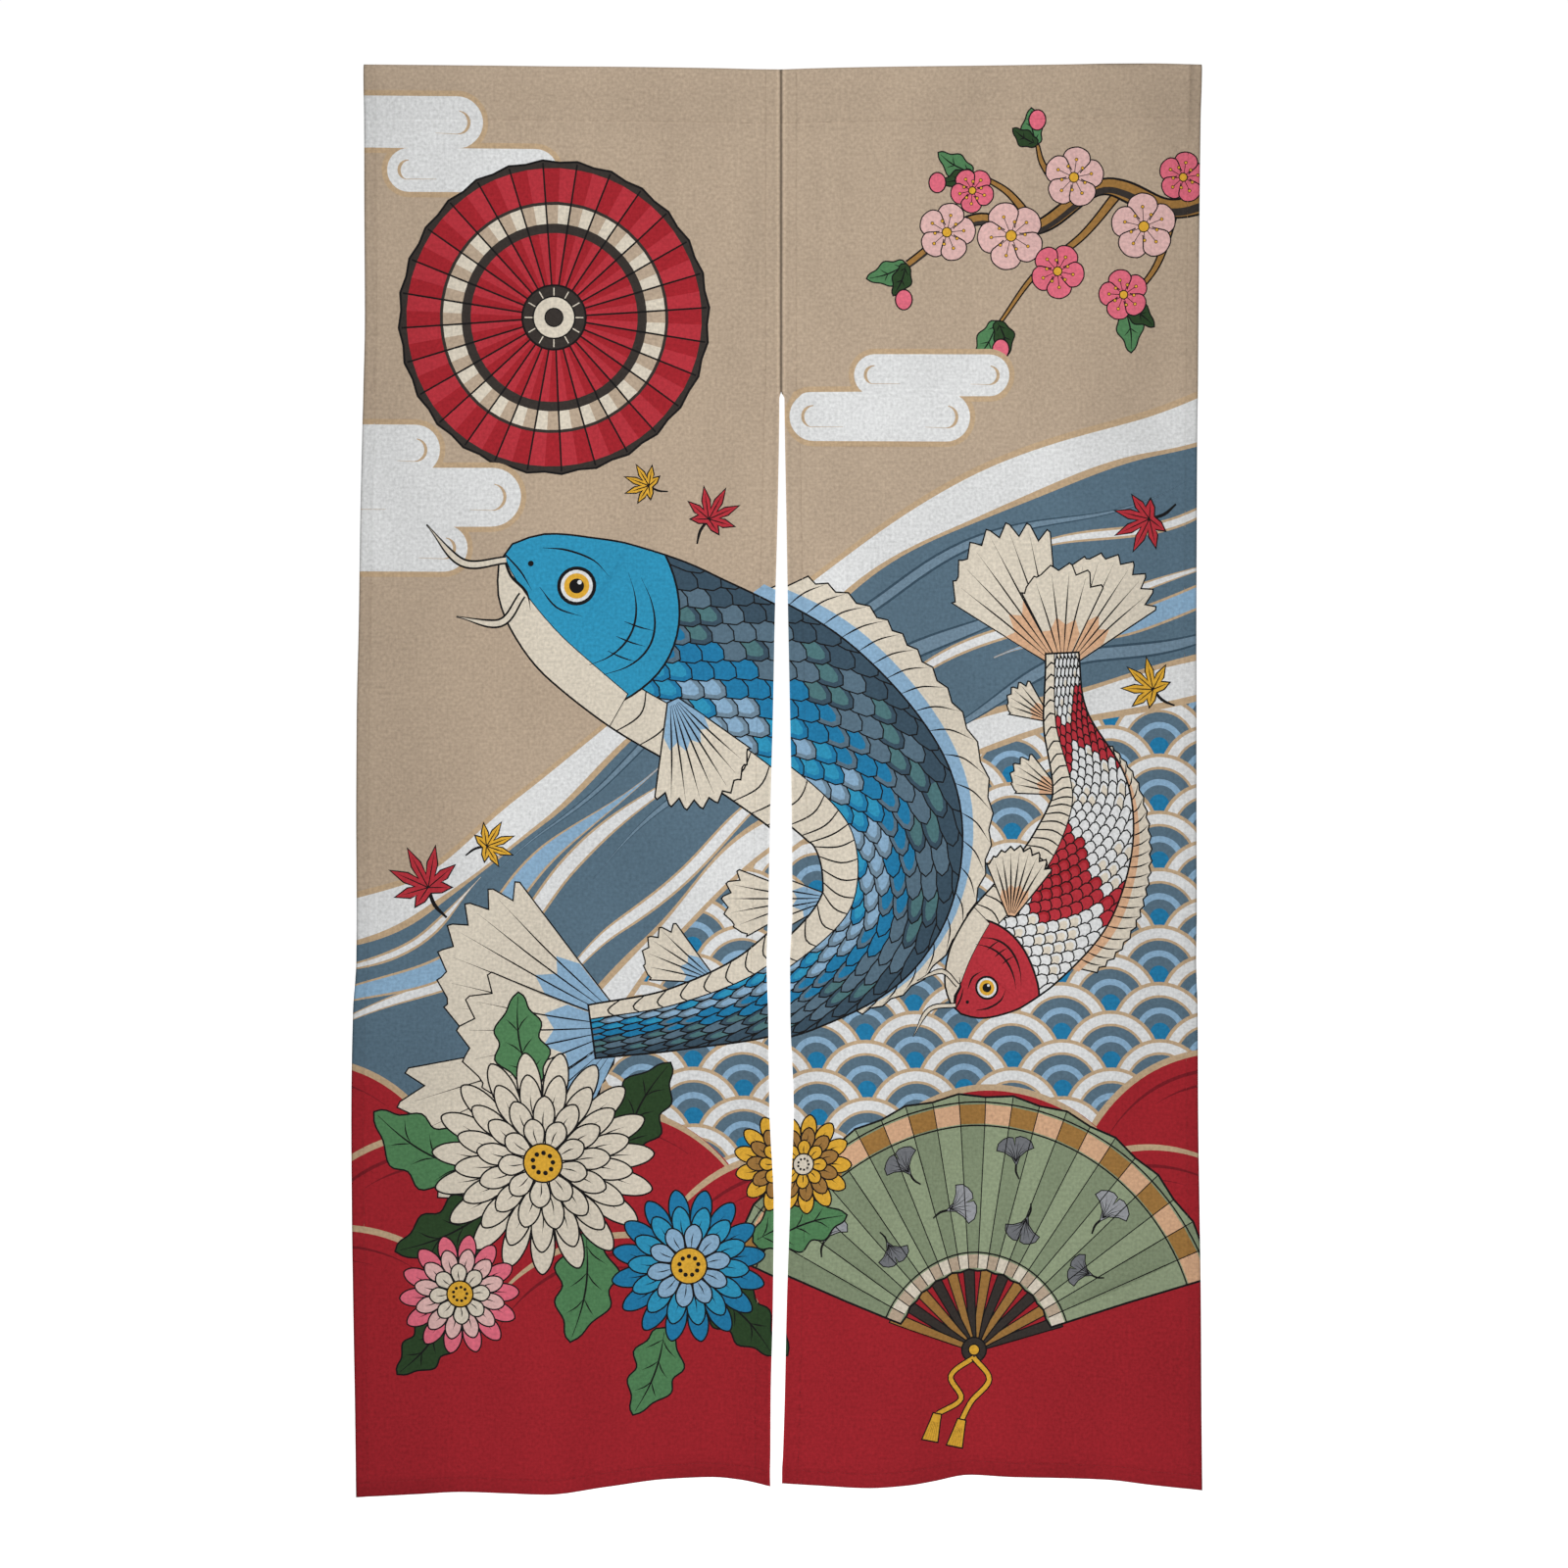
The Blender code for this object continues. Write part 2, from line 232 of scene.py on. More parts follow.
STITCH_LIFT = 0.00008  # how far the middle of a stitch stands off its cloth
STITCH_INSET = 0.004  # from the end of a row of stitches to the cloth's edge
PATH_PITCH = 0.003  # spacing of the points that a row of stitches follows
CORD_SUNK = 0.0005  # how deep the seam's cord lies between the two cloths
CORD_PITCH = 0.002  # spacing of the rings that the cord's tube is made of
OVERCAST_END = 0.002  # from the last stitch over the seam to the slit
OVERCAST = {"stitch_pitch": 0.0030, "stitch_length": 0.0085, "slant": 1.05}  # the stitches over the seam

# Where the cloth's mesh has rows of points of its own, as distances from the edge or line that is named.
FOOT_ROWS = (0.0, 0.0008, 0.0018, 0.0100, FOOT_HEM, FOOT_HEM + HEM_STEP)
TROUGH_ROWS = (-0.0012, 0.0, 0.0012)
EDGE_ROWS = (0.0, 0.0008, 0.0018)
SEAM_ROWS = (0.0030, 0.0044, 0.0068, 0.0100)
OUTER_ROWS = (0.0040, 0.0080)
SLIT_ROWS = (-0.003, -0.001, 0.001, 0.004, 0.008)
POCKET_ROWS = (-0.0028, 0.0048)
RIDGE_ROWS = (0.0080, 0.0015, -0.0015)
MERGE_DISTANCE = 0.02  # below this, in millimetres, two points of the mesh become one
LEAST_AREA = 1e-12  # a smaller triangle is left out

FLOOR_HEIGHT = -1.80
FLOOR_HALF = 14.0
FLOOR_SHADE = 0.93
FLOOR_GLOW = 0.70  # what lifts the floor to the white of the backdrop where the camera sees it
BACKDROP_GLOW = 1.02
ROOM_LIGHT = 0.55
CAMERA_PLACE = (0.003, -3.2, -0.729)
CAMERA_LENS, CAMERA_SENSOR = 72.0, 36.0
LAMP_SIZE = 1.5
LAMP_SPREAD = math.radians(62)
LAMPS = (
    ("key_lamp", (-1.5, -2.8, 1.1), (0.30, 0.0, -0.42), 9.6),
    ("fill_lamp", (1.4, -3.0, -0.5), (-0.20, 0.0, -1.05), 3.8),
)


def smooth_curve(places, values):
    """A function that runs smoothly through the values at the places and never past its neighbours."""
    places, values = np.array(places, float), np.array(values, float)
    rises = np.diff(values) / np.diff(places)
    slopes = np.zeros(len(places))
    slopes[0], slopes[-1] = rises[0], rises[-1]
    for i, (before, after) in enumerate(zip(rises, rises[1:]), 1):
        if before * after > 0:
            slopes[i] = 2 * before * after / (before + after)

    def value_at(place):
        place = np.clip(place, places[0], places[-1])
        i = np.clip(np.searchsorted(places, place, side="right") - 1, 0, len(places) - 2)
        run = places[i + 1] - places[i]
        t = (place - places[i]) / run
        ease = t * t * (3 - 2 * t)
        start = run * slopes[i] * t * (1 - t) ** 2
        end = run * slopes[i + 1] * t * t * (t - 1)
        return values[i] * (1 - ease) + values[i + 1] * ease + start + end

    return value_at


def table_curve(rows, place, value):
    """A smooth curve through one column of a table, by another."""
    return smooth_curve([getattr(row, place) for row in rows], [getattr(row, value) for row in rows])


def eased(t):
    t = np.clip(t, 0.0, 1.0)
    return t * t * (3 - 2 * t)


def bell(away, reach):
    """1 where there is no distance, and next to nothing from twice the reach on."""
    return np.exp(-((away / reach) ** 2))


class Cloth:
    """Where each point of a hung cloth lies. x is across in the flat, run is down the front from the ridge of
    the top fold, and a negative run goes down the flap at the back."""

    def __init__(self, panel):
        self.low, self.high, self.creases = panel.low, panel.high, panel.creases
        # The seam is at x = 0. way is the direction from the outer side edge to it.
        self.way = 1 if self.high == 0.0 else -1
        self.outer = self.low if self.way == 1 else self.high
        self.left, self.right = (table_curve(panel.edges, "drop", side) for side in ("left", "right"))
        columns = ("top", "middle", "foot", "length")
        self.top, self.middle, self.foot, self.length = (
            table_curve(panel.folds, "across", column) for column in columns
        )

    def share(self, x):
        return (x - self.low) / (self.high - self.low)

    def foot_run(self, x):
        return self.length(self.share(x)) + FOLD_RUN

    def in_hem(self, x):
        """How far a point is from its side edge, less what makes the hem beside the seam wider."""
        return np.minimum(self.way * (x - self.outer), -self.way * x - SEAM_HEM_EXTRA)

    def stitch_sides(self):
        """Where the two side hems' stitching is."""
        return self.outer + self.way * HEM_STITCH, -self.way * (HEM_STITCH + SEAM_HEM_EXTRA)

    def fold(self, across, drop):
        upper = np.clip((drop - POCKET_FLAP) / (FOLD_MIDDLE - POCKET_FLAP), 0.0, 1.0)
        lower = np.clip((drop - FOLD_MIDDLE) / (self.length(across) - FOLD_MIDDLE), 0.0, 1.2)
        ease = lower * (1 + lower) / 2
        return self.middle(across) * upper ** FOLD_ONSET * (1 - ease) + self.foot(across) * ease

    def crease(self, x, drop):
        """The soft creases, the gathers under the pocket, the stitch lines' troughs and the hems' puckers."""
        depth = np.zeros_like(x)
        for row in self.creases:
            along = np.array([row.to_x - row.x, row.to_drop - row.drop])
            length = np.hypot(*along)
            along /= length
            dx, dz = x - row.x, drop - row.drop
            t = (dx * along[0] + dz * along[1]) / length
            off = dx * along[1] - dz * along[0]
            bend = row.width * 0.6 * np.sin(t * math.pi * 1.7)
            ends = eased((t + 0.15) / 0.4) * eased((1.15 - t) / 0.4)
            depth += row.depth * ends * bell(off - bend, row.width)
        under = bell(drop - POCKET_FLAP, GATHER_REACH) * eased((drop - POCKET_FLAP) / GATHER_ONSET)
        ripple = np.sin(x * 170 + 1.3 * np.sin(x * 31)) + 0.6 * np.sin(x * 291 + 0.8)
        depth += GATHER_DEPTH * under * ripple
        side, foot = self.in_hem(x), self.length(self.share(x)) - drop
        for away, along in ((side - HEM_STITCH, drop), (foot - FOOT_STITCH, x), (drop - POCKET_STITCH, x)):
            inside = 1.0 if along is x else eased((drop - POCKET_FLAP) / PUCKER_ONSET)
            depth += STITCH_TROUGH * inside * bell(away, STITCH_TROUGH_WIDTH)
            wave = np.sin(along * 2 * math.pi / PUCKER_RUN + 2.2 * np.sin(along * 37))
            swell = 0.55 + 0.45 * np.sin(along * 23 + 1.1)
            depth += PUCKER_DEPTH * inside * swell * wave * bell(away, PUCKER_REACH)
        return depth

    def surface(self, x, run):
        """The outer, printed face."""
        across = self.share(x)
        down = np.abs(run)
        arc = np.minimum(down, QUARTER)
        drop = POCKET_OUTER * (1 - np.cos(arc / POCKET_OUTER)) + down - arc
        gap = POCKET_TIP + (POCKET_HALF_GAP - POCKET_TIP) * eased((POCKET_FLOOR - drop) / POCKET_BELLY)
        closing = eased((POCKET_FLAP - drop) / (POCKET_FLAP - POCKET_FLOOR))
        wall = CLOTH_FACE + gap * closing
        depth = np.where(down < QUARTER, POCKET_OUTER * np.sin(arc / POCKET_OUTER), wall)
        hung = self.fold(across, drop) + self.crease(x, drop) - depth
        turned_under = HEM_FOLD * eased((drop - POCKET_FLAP + FLAP_HEM) / HEM_STEP)
        drawn_in = STITCH_TROUGH * bell(drop - POCKET_STITCH, STITCH_TROUGH_WIDTH)
        flap = depth + turned_under - drawn_in
        sag = self.top(across) * np.clip(1 - (drop - POCKET_FLAP) / SAG_FADE, 0.0, 1.0)
        left, right = self.left(drop), self.right(drop)
        place = left + (right - left) * across
        return np.stack([place, np.where(run >= 0, hung, flap), sag - drop], axis=-1)

    def normal(self, x, run):
        """The way that the printed face looks."""
        sideways = self.surface(x + SURFACE_STEP, run) - self.surface(x - SURFACE_STEP, run)
        downwards = self.surface(x, run + SURFACE_STEP) - self.surface(x, run - SURFACE_STEP)
        normal = np.cross(downwards, sideways)
        return normal / np.linalg.norm(normal, axis=-1, keepdims=True)

    def thickness(self, x, run):
        side = 1 - eased((self.in_hem(x) - SIDE_HEM) / HEM_STEP)
        foot = 1 - eased((self.foot_run(x) - run - FOOT_HEM) / HEM_STEP)
        flap = 1 - eased((run + POCKET_FLAP + FOLD_RUN - FLAP_HEM) / HEM_STEP)
        side = side * eased((run - POCKET_FLAP) / HEM_ONSET)
        return CLOTH + HEM_FOLD * np.maximum(np.maximum(side, foot), flap)

    def shade(self, x, run):
        """How much darker the cloth is painted: painted shade in its seam, at its edges and hems, in its
        stitching's troughs and in the pocket's gap, and broadly towards the outer edge; below 0 it is painted
        highlight, on the seam's ridges and the pocket's stitch line.
        """
        down = np.abs(run) - FOLD_RUN
        seam = np.abs(x) + SLIT_PALER * (down > SLIT_TOP)
        outer = self.way * (x - self.outer)
        foot = self.foot_run(x) - run
        dark = np.zeros_like(x)
        shades = ((seam, SEAM_SHADES), (outer, SIDE_SHADES), (foot, FOOT_SHADES), (down, POCKET_SHADES))
        for away, lines in shades:
            for line in lines:
                dark += line.strength * bell(away - line.place, line.reach)
        # Painted shadow in the gap at the top of the right cloth's pocket, over the ridge's painted shade.
        gape_shadow = RIDGE_GAPE_SHADOW.strength * bell(x - RIDGE_GAPE_SHADOW.place, RIDGE_GAPE_SHADOW.reach)
        dark += (RIDGE_SHADE.strength + gape_shadow) * bell(run, RIDGE_SHADE.reach)
        corner = CORNER_SHADE.strength * bell(outer - CORNER_SHADE.place, CORNER_SHADE.reach)
        dark += (self.way < 0) * corner * eased((CORNER_DROP - down) / CORNER_DROP)
        # Painted shade over the foot hem, uneven along it.
        swell = 0.58 + 0.34 * np.sin(x * 19.6 - 3.5) + 0.10 * np.sin(x * 67)
        dark += FOOT_SHADE_BAND * swell * eased((FOOT_BAND_TOP - foot) / FOOT_BAND_FADE)
        return np.clip(dark, -0.2, 0.9)


# The printed design: closed outlines painted one over another, in millimetres

INKS = {
    "tan": (170, 152, 132),
    "tan_line": (176, 152, 122),
    "red": (150, 34, 42),
    "vermilion": (167, 47, 56),
    "dark_red": (112, 26, 34),
    "slate": (82, 104, 119),
    "deep_slate": (55, 74, 88),
    "pale_slate": (104, 126, 142),
    "light_blue": (128, 160, 186),
    "blue": (32, 112, 154),
    "bright_blue": (44, 136, 172),
    "teal": (72, 108, 112),
    "white": (206, 207, 207),
    "cream": (201, 192, 176),
    "line": (24, 23, 24),
    "brown_black": (52, 47, 44),
    "green": (76, 120, 80),
    "dark_green": (42, 64, 38),
    "sage": (134, 146, 118),
    "sage_shade": (120, 132, 106),
    "peach": (198, 158, 126),
    "ochre": (146, 108, 58),
    "gold": (204, 156, 52),
    "pink": (206, 100, 118),
    "pale_pink": (206, 168, 164),
    "grey": (104, 106, 110),
    "mid_grey": (140, 142, 146),
}
INK_NAMES = list(INKS)
CURVE_ERROR = 0.13  # how far a straight run may leave the round that it stands for
LOWEST_PRINT = -1500
HIGHEST_PRINT = 80
SEA_WAVE = 52.0  # radius of one wave
WAVE_RINGS = (
    (1.0, "tan_line"),
    (0.93, "white"),
    (0.74, "tan_line"),
    (0.69, "slate"),
    (0.50, "light_blue"),
    (0.38, "slate"),
    (0.20, "blue"),
)

Shape = namedtuple("Shape", "outline ink clip")


def pitch_for(radius):
    """The longest step that keeps a round of this radius within CURVE_ERROR of its true line."""
    return min(9.0, max(0.9, math.sqrt(8 * radius * CURVE_ERROR)))


def polar(radius, degrees):
    return (radius * math.cos(math.radians(degrees)), radius * math.sin(math.radians(degrees)))


def turned(points, degrees):
    a = math.radians(degrees)
    return np.asarray(points, float) @ np.array([[math.cos(a), math.sin(a)], [-math.sin(a), math.cos(a)]])


def placed(points, x, y, degrees=0.0):
    return turned(points, degrees) + (x, y)


def arc(x, y, radius, start, end, tall=1.0):
    count = max(4, math.ceil(abs(math.radians(end - start)) * radius / pitch_for(radius)))
    a = np.radians(np.linspace(start, end, count + 1))
    return np.stack([x + radius * np.cos(a), y + radius * tall * np.sin(a)], axis=-1)


def disc(x, y, radius, tall=1.0):
    return arc(x, y, radius, 0, 360, tall)[:-1]


def sector(x, y, inner, outer, start, end):
    """A straight-sided piece of a ring."""
    return placed([polar(inner, start), polar(outer, start), polar(outer, end), polar(inner, end)], x, y)


def smooth(points, pitch=4.0, closed=False):
    """A smooth curve through the points."""
    points = np.asarray(points, float)
    count = len(points)
    if closed:
        padded = np.vstack([points[-1], points, points[:2]])
        spans = count
    else:
        padded = np.vstack([2 * points[0] - points[1], points, 2 * points[-1] - points[-2]])
        spans = count - 1
    made = []
    for i in range(spans):
        a, b, c, d = padded[i : i + 4]
        steps = max(2, math.ceil(np.linalg.norm(c - b) / pitch))
        t = np.linspace(0, 1, steps, endpoint=False)[:, None]
        square, cube = 2 * a - 5 * b + 4 * c - d, 3 * b - a - 3 * c + d
        made.append(0.5 * (2 * b + (c - a) * t + square * t**2 + cube * t**3))
    if not closed:
        made.append(points[-1:])
    return np.vstack(made)


def side_normals(path, closed=False):
    if closed:
        ahead = np.roll(path, -1, axis=0) - path
        before = path - np.roll(path, 1, axis=0)
    else:
        steps = np.diff(path, axis=0)
        ahead, before = np.vstack([steps, steps[-1:]]), np.vstack([steps[:1], steps])
    ahead = ahead / np.maximum(np.linalg.norm(ahead, axis=1, keepdims=True), 1e-9)
    before = before / np.maximum(np.linalg.norm(before, axis=1, keepdims=True), 1e-9)
    middle = ahead + before
    middle /= np.maximum(np.linalg.norm(middle, axis=1, keepdims=True), 0.2)
    miter = np.maximum((middle * ahead).sum(axis=1, keepdims=True), 0.45)
    return np.stack([-middle[:, 1], middle[:, 0]], axis=-1) / miter


def area_of(outline):
    x, y = outline[:, 0], outline[:, 1]
    return 0.5 * float(np.dot(x, np.roll(y, -1)) - np.dot(np.roll(x, -1), y))


def grown(outline, by):
    outward = -1.0 if area_of(outline) > 0 else 1.0
    return outline + side_normals(outline, closed=True) * by * outward


def ribbon(path, widths):
    """The closed outline of a line with these widths along it."""
    normals = side_normals(path)
    half = np.asarray(widths)[:, None] / 2
    return np.vstack([path + normals * half, (path - normals * half)[::-1]])


def brush_widths(count, width, start, end):
    t = np.linspace(0, 1, count)
    opening = start + (1 - start) * eased(t / 0.35)
    closing = end + (1 - end) * eased((1 - t) / 0.45)
    return width * np.minimum(opening, closing)


def inside(points, outline):
    """Which of the points lie inside a closed outline."""
    x1, y1 = outline.T
    x2, y2 = np.roll(outline, -1, axis=0).T
    level = y1 == y2
    slope = (x2 - x1) / np.where(level, 1.0, y2 - y1)
    found = np.zeros(len(points), bool)
    chunk = max(1, 2_000_000 // len(outline))
    for first in range(0, len(points), chunk):
        x, y = points[first : first + chunk, :, None].transpose(1, 0, 2)
        crossed = ((y1 > y) != (y2 > y)) & (x < slope * (y - y1) + x1)
        found[first : first + chunk] = crossed.sum(axis=1) % 2 == 1
    return found


class Spread:
    """Points in order across, so that the few in an outline's box are found at once."""

    def __init__(self, points):
        self.order = np.argsort(points[:, 0], kind="stable")
        self.x, self.y = points[self.order].T

    def near(self, outline):
        low, high = outline.min(axis=0), outline.max(axis=0)
        first, last = np.searchsorted(self.x, (low[0], high[0]))
        y = self.y[first:last]
        return self.order[first:last][(y > low[1]) & (y < high[1])]


class Design:
    """Shapes in the order in which they are painted."""

    def __init__(self):
        self.shapes = []
        self.clip = None

    def paint(self, outline, ink):
        self.shapes.append(Shape(np.asarray(outline, float), ink, self.clip))

    def inked(self, outline, ink, line):
        """A filled shape with a drawn outline."""
        outline = np.asarray(outline, float)
        self.paint(grown(outline, line), "line")
        self.paint(outline, ink)

    def brush(self, path, width, ink="line", start=0.25, end=0.12):
        path = np.asarray(path, float)
        self.paint(ribbon(path, brush_widths(len(path), width, start, end)), ink)


def petal(reach, half_width, root, tip):
    """A petal along +x from its root to its reach. tip is how far along it is widest."""
    shares = np.array([0.0, 0.18, 0.38, tip, 0.80, 0.93, 1.0])
    widths = np.array([0.22, 0.45, 0.78, 1.0, 0.86, 0.52, 0.0])
    upper = np.stack([root + (reach - root) * shares, half_width * widths], axis=-1)
    lower = upper[-2::-1] * (1, -1)
    return smooth(np.vstack([upper, lower]), pitch_for(half_width), closed=True)


def bloom(design, x, y, radius, rings, heart="gold", turn=0.0, line=1.5):
    """A full round bloom: rings of petals, each a row of (reach share, petal count, ink)."""
    for k, (share, count, ink) in enumerate(rings):
        reach = share * radius
        half = math.pi * reach / count * 0.62
        shape = petal(reach, half, root=reach * 0.28, tip=0.62)
        vein = smooth([(reach * 0.45, 0), (reach * 0.66, half * 0.1), (reach * 0.8, 0)], 3)
        for i in range(count):
            degrees = turn + 360 * (i + 0.5 * (k % 2)) / count
            design.inked(placed(shape, x, y, degrees), ink, line)
            design.brush(placed(vein, x, y, degrees), line * 0.75)
    core = radius * rings[-1][0] * 0.42
    design.inked(disc(x, y, core), heart, line)
    for i in range(9):
        seed_x, seed_y = polar(core * 0.55, turn + 40 * i)
        design.paint(disc(x + seed_x, y + seed_y, core * 0.13), "line")


def plum_blossom(design, x, y, radius, ink, turn, line=1.3):
    """A five-petalled blossom with round petals and long stamens."""
    shape = petal(radius, radius * 0.45, root=radius * 0.08, tip=0.56)
    for i in range(5):
        design.inked(placed(shape, x, y, turn + 72 * i), ink, line)
    design.paint(disc(x, y, radius * 0.26), ink)
    for i in range(10):
        degrees = turn + 36 * i
        reach = radius * (0.42 if i % 2 else 0.60)
        design.brush(placed([(radius * 0.12, 0), (reach, 0)], x, y, degrees), line * 0.7, start=0.8, end=0.8)
        stamen_x, stamen_y = polar(reach, degrees)
        design.inked(disc(x + stamen_x, y + stamen_y, line), "gold", 0.6)
    design.inked(disc(x, y, radius * 0.15), "gold", line * 0.8)


def maple_leaf(design, x, y, size, turn, ink, line=1.4):
    """A fallen leaf of seven pointed lobes, with a vein to each and a bent stalk."""
    lobes = ((-118, 0.52), (-78, 0.78), (-38, 0.95), (0, 1.0), (38, 0.95), (78, 0.78), (118, 0.52))
    stalk = smooth([(0, 0), (-size * 0.42, size * 0.06), (-size * 0.82, -size * 0.05)], 5)
    design.brush(placed(stalk, x, y, turn), size * 0.09, start=1.0, end=0.6)
    outline = [polar(size * 0.13, 180)]
    for k, (degrees, reach) in enumerate(lobes):
        if k:
            outline.append(polar(size * 0.28, (degrees + lobes[k - 1][0]) / 2))
        lobe = [(size * reach * 0.60, -size * 0.11), (size * reach, 0), (size * reach * 0.60, size * 0.11)]
        outline += turned(lobe, degrees).tolist()
    design.inked(placed(outline, x, y, turn), ink, line)
    for degrees, reach in lobes:
        vein = [(0, 0), (size * reach * 0.45, 0), (size * reach * 0.84, 0)]
        design.brush(placed(vein, x, y, turn + degrees), line * 0.8, start=1.0)


def ginkgo_leaf(design, x, y, size, turn, ink, line):
    """A leaf like a small fan with a cleft rim, on a thin stalk."""
    stalk = smooth([(-size * 0.25, 0), (-size * 0.6, size * 0.04), (-size * 0.95, -size * 0.08)], 4)
    design.brush(placed(stalk, x, y, turn), size * 0.10, start=1.0, end=0.7)
    side = ((0.05, 0.16), (0.30, 0.50), (0.40, 0.82), (0.66, 0.74), (0.83, 0.52), (0.92, 0.27), (0.88, 0.07))
    upper = np.array([(-0.30, 0.0), *side, (0.50, 0.0)])
    outline = np.vstack([upper, upper[-2:0:-1] * (1, -1)])
    design.inked(placed(outline * size, x, y, turn), ink, line)
    tips = ((0.46, 0.66), (0.68, 0.46), (0.78, 0.20), (0.78, -0.20), (0.68, -0.46), (0.46, -0.66))
    for tip in tips:
        vein = np.array([(-0.18, 0.0), (0.10 + 0.2 * tip[0], 0.35 * tip[1]), tip]) * size
        design.brush(placed(vein, x, y, turn), line * 0.7, start=1.0)


def leaf(design, x, y, length, degrees, ink, lobes, line):
    """A lobed leaf along its midrib, with veins to each lobe."""
    t = np.linspace(0, 1, 8 * lobes + 3)
    body = np.sin(np.pi * np.clip(t, 0, 1) ** 0.8) ** 0.75
    lobed = 1 - 0.30 * (0.5 - 0.5 * np.cos(2 * np.pi * lobes * t)) * (t < 0.97)
    half = length * 0.30 * body * lobed
    bend = length * 0.07 * np.sin(np.pi * t)
    upper = np.stack([length * t, half + bend], axis=-1)
    lower = np.stack([length * t, bend - half], axis=-1)
    outline = np.vstack([upper, lower[-2:0:-1]])
    design.inked(placed(outline, x, y, degrees), ink, line)
    spine = np.stack([length * t[1:-1], bend[1:-1]], axis=-1)
    design.brush(placed(spine, x, y, degrees), line * 1.1, end=0.3)
    for k in range(lobes):
        root = 0.12 + 0.72 * k / lobes
        tip = root + 0.15
        root_bend, tip_bend = np.interp([root, tip], t, bend)
        reach = np.interp(tip, t, half)
        for side in (1, -1):
            middle = (length * (root + 0.08), root_bend + side * reach * 0.3)
            end = (length * tip, tip_bend + side * reach * 0.72)
            vein = smooth([(length * root, root_bend), middle, end], 4)
            design.brush(placed(vein, x, y, degrees), line * 0.8)


def mist(design, bars):
    """A bank of level bars of mist with round ends: rows of (left, right, height, half height)."""
    outlines = []
    for left, right, y, half in bars:
        outlines.append(np.vstack([arc(right, y, half, -90, 90), arc(left, y, half, 90, 270)]))
    for outline in outlines:
        design.paint(grown(outline, 5.5), "tan_line")
    for outline in outlines:
        design.paint(outline, "white")
    for left, right, y, half in bars:
        for x, start, end, share in ((left, 90, 250, 0.22), (right, 80, -90, -0.16)):
            tail = (x + (right - left) * share, y - half * 0.42)
            curl = np.vstack([arc(x, y, half * 0.45, start, end), [tail]])
            design.brush(curl, 3.2, "tan_line", start=0.3, end=0.1)


def mounds(design, rows):
    """Low red hills, each with a pale rim line that thins out at its ends, one in front of another."""
    for x, top, radius, start, end in rows:
        y = top - radius
        design.paint(disc(x, y, radius), "red")
        design.brush(arc(x, y, radius - 3, start, end), 6.5, "tan_line", 0.15, 0.15)
        design.brush(arc(x, y, radius - 22, 150, 52), 3.6, "dark_red", 0.15, 0.15)
        design.brush(arc(x, y, radius - 36, 124, 74), 2.4, "dark_red", 0.15, 0.15)


class Course:
    """A curve that can be asked for a point at a share of its length and an offset to its left."""

    def __init__(self, points, pitch):
        self.path = smooth(points, pitch)
        self.normals = side_normals(self.path)
        steps = np.linalg.norm(np.diff(self.path, axis=0), axis=1)
        runs = np.concatenate([[0], np.cumsum(steps)])
        self.length = float(runs[-1])
        self.share = runs / runs[-1]

    def at(self, share, offset=0.0):
        share = np.asarray(share, float)
        x, y = (np.interp(share, self.share, self.path[:, i]) for i in (0, 1))
        nx, ny = (np.interp(share, self.share, self.normals[:, i]) for i in (0, 1))
        return np.stack([x + nx * offset, y + ny * offset], axis=-1)

    def heading(self, share):
        a, b = self.at(share - 0.01), self.at(share + 0.01)
        return math.degrees(math.atan2(b[1] - a[1], b[0] - a[0]))


STREAM = (
    (560, -430),
    (430, -492),
    (250, -540),
    (90, -620),
    (-60, -715),
    (-190, -830),
    (-320, -950),
    (-560, -1035),
)
# Rows of (low, high, ink, start, end): a current's two sides as shares of the stream's half width, and where
# along the stream it starts and ends.
CURRENTS = (
    (0.56, 0.64, "pale_slate", 0.05, 0.42),
    (0.30, 0.44, "light_blue", 0.00, 0.30),
    (0.40, 0.48, "white", 0.44, 0.80),
    (0.16, 0.22, "white", 0.06, 0.50),
    (-0.02, 0.08, "pale_slate", 0.20, 0.66),
    (-0.18, -0.08, "white", 0.50, 0.96),
    (-0.36, -0.22, "light_blue", 0.56, 1.00),
    (-0.30, -0.25, "white", 0.02, 0.30),
    (-0.50, -0.44, "pale_slate", 0.10, 0.74),
    (-0.56, -0.52, "white", 0.72, 0.93),
)
CURRENT_HALF = 138  # the stream's half width where its currents run


def stream(design):
    """A wide stream in level currents, white at its banks."""
    course = Course(STREAM, 8.0)
    share = np.linspace(0, 1, 110)
    half = 128 + 22 * np.sin(share * 7.5 + 0.6)
    for low, high, ink, wobble in (
        (-1.0, 1.0, "tan_line", 0.0),
        (-0.955, 0.955, "white", 0.0),
        (-0.70, 0.76, "tan_line", 5.0),
        (-0.66, 0.72, "slate", 5.0),
    ):
        sway = wobble * np.sin(share * 31 + low * 9)
        lower = course.at(share, half * low + sway)
        upper = course.at(share, half * high + sway)
        design.paint(np.vstack([lower, upper[::-1]]), ink)
    for low, high, ink, start, end in CURRENTS:
        along = np.linspace(start, end, 60)
        middle = course.at(along, 0.5 * (low + high) * CURRENT_HALF + 6 * np.sin(along * 29 + low * 7))
        width = (high - low) * CURRENT_HALF
        rim = "deep_slate" if ink == "pale_slate" else "tan_line"
        design.brush(middle, width + 5, rim, start=0.05, end=0.05)
        design.brush(middle, width, ink, start=0.02, end=0.02)


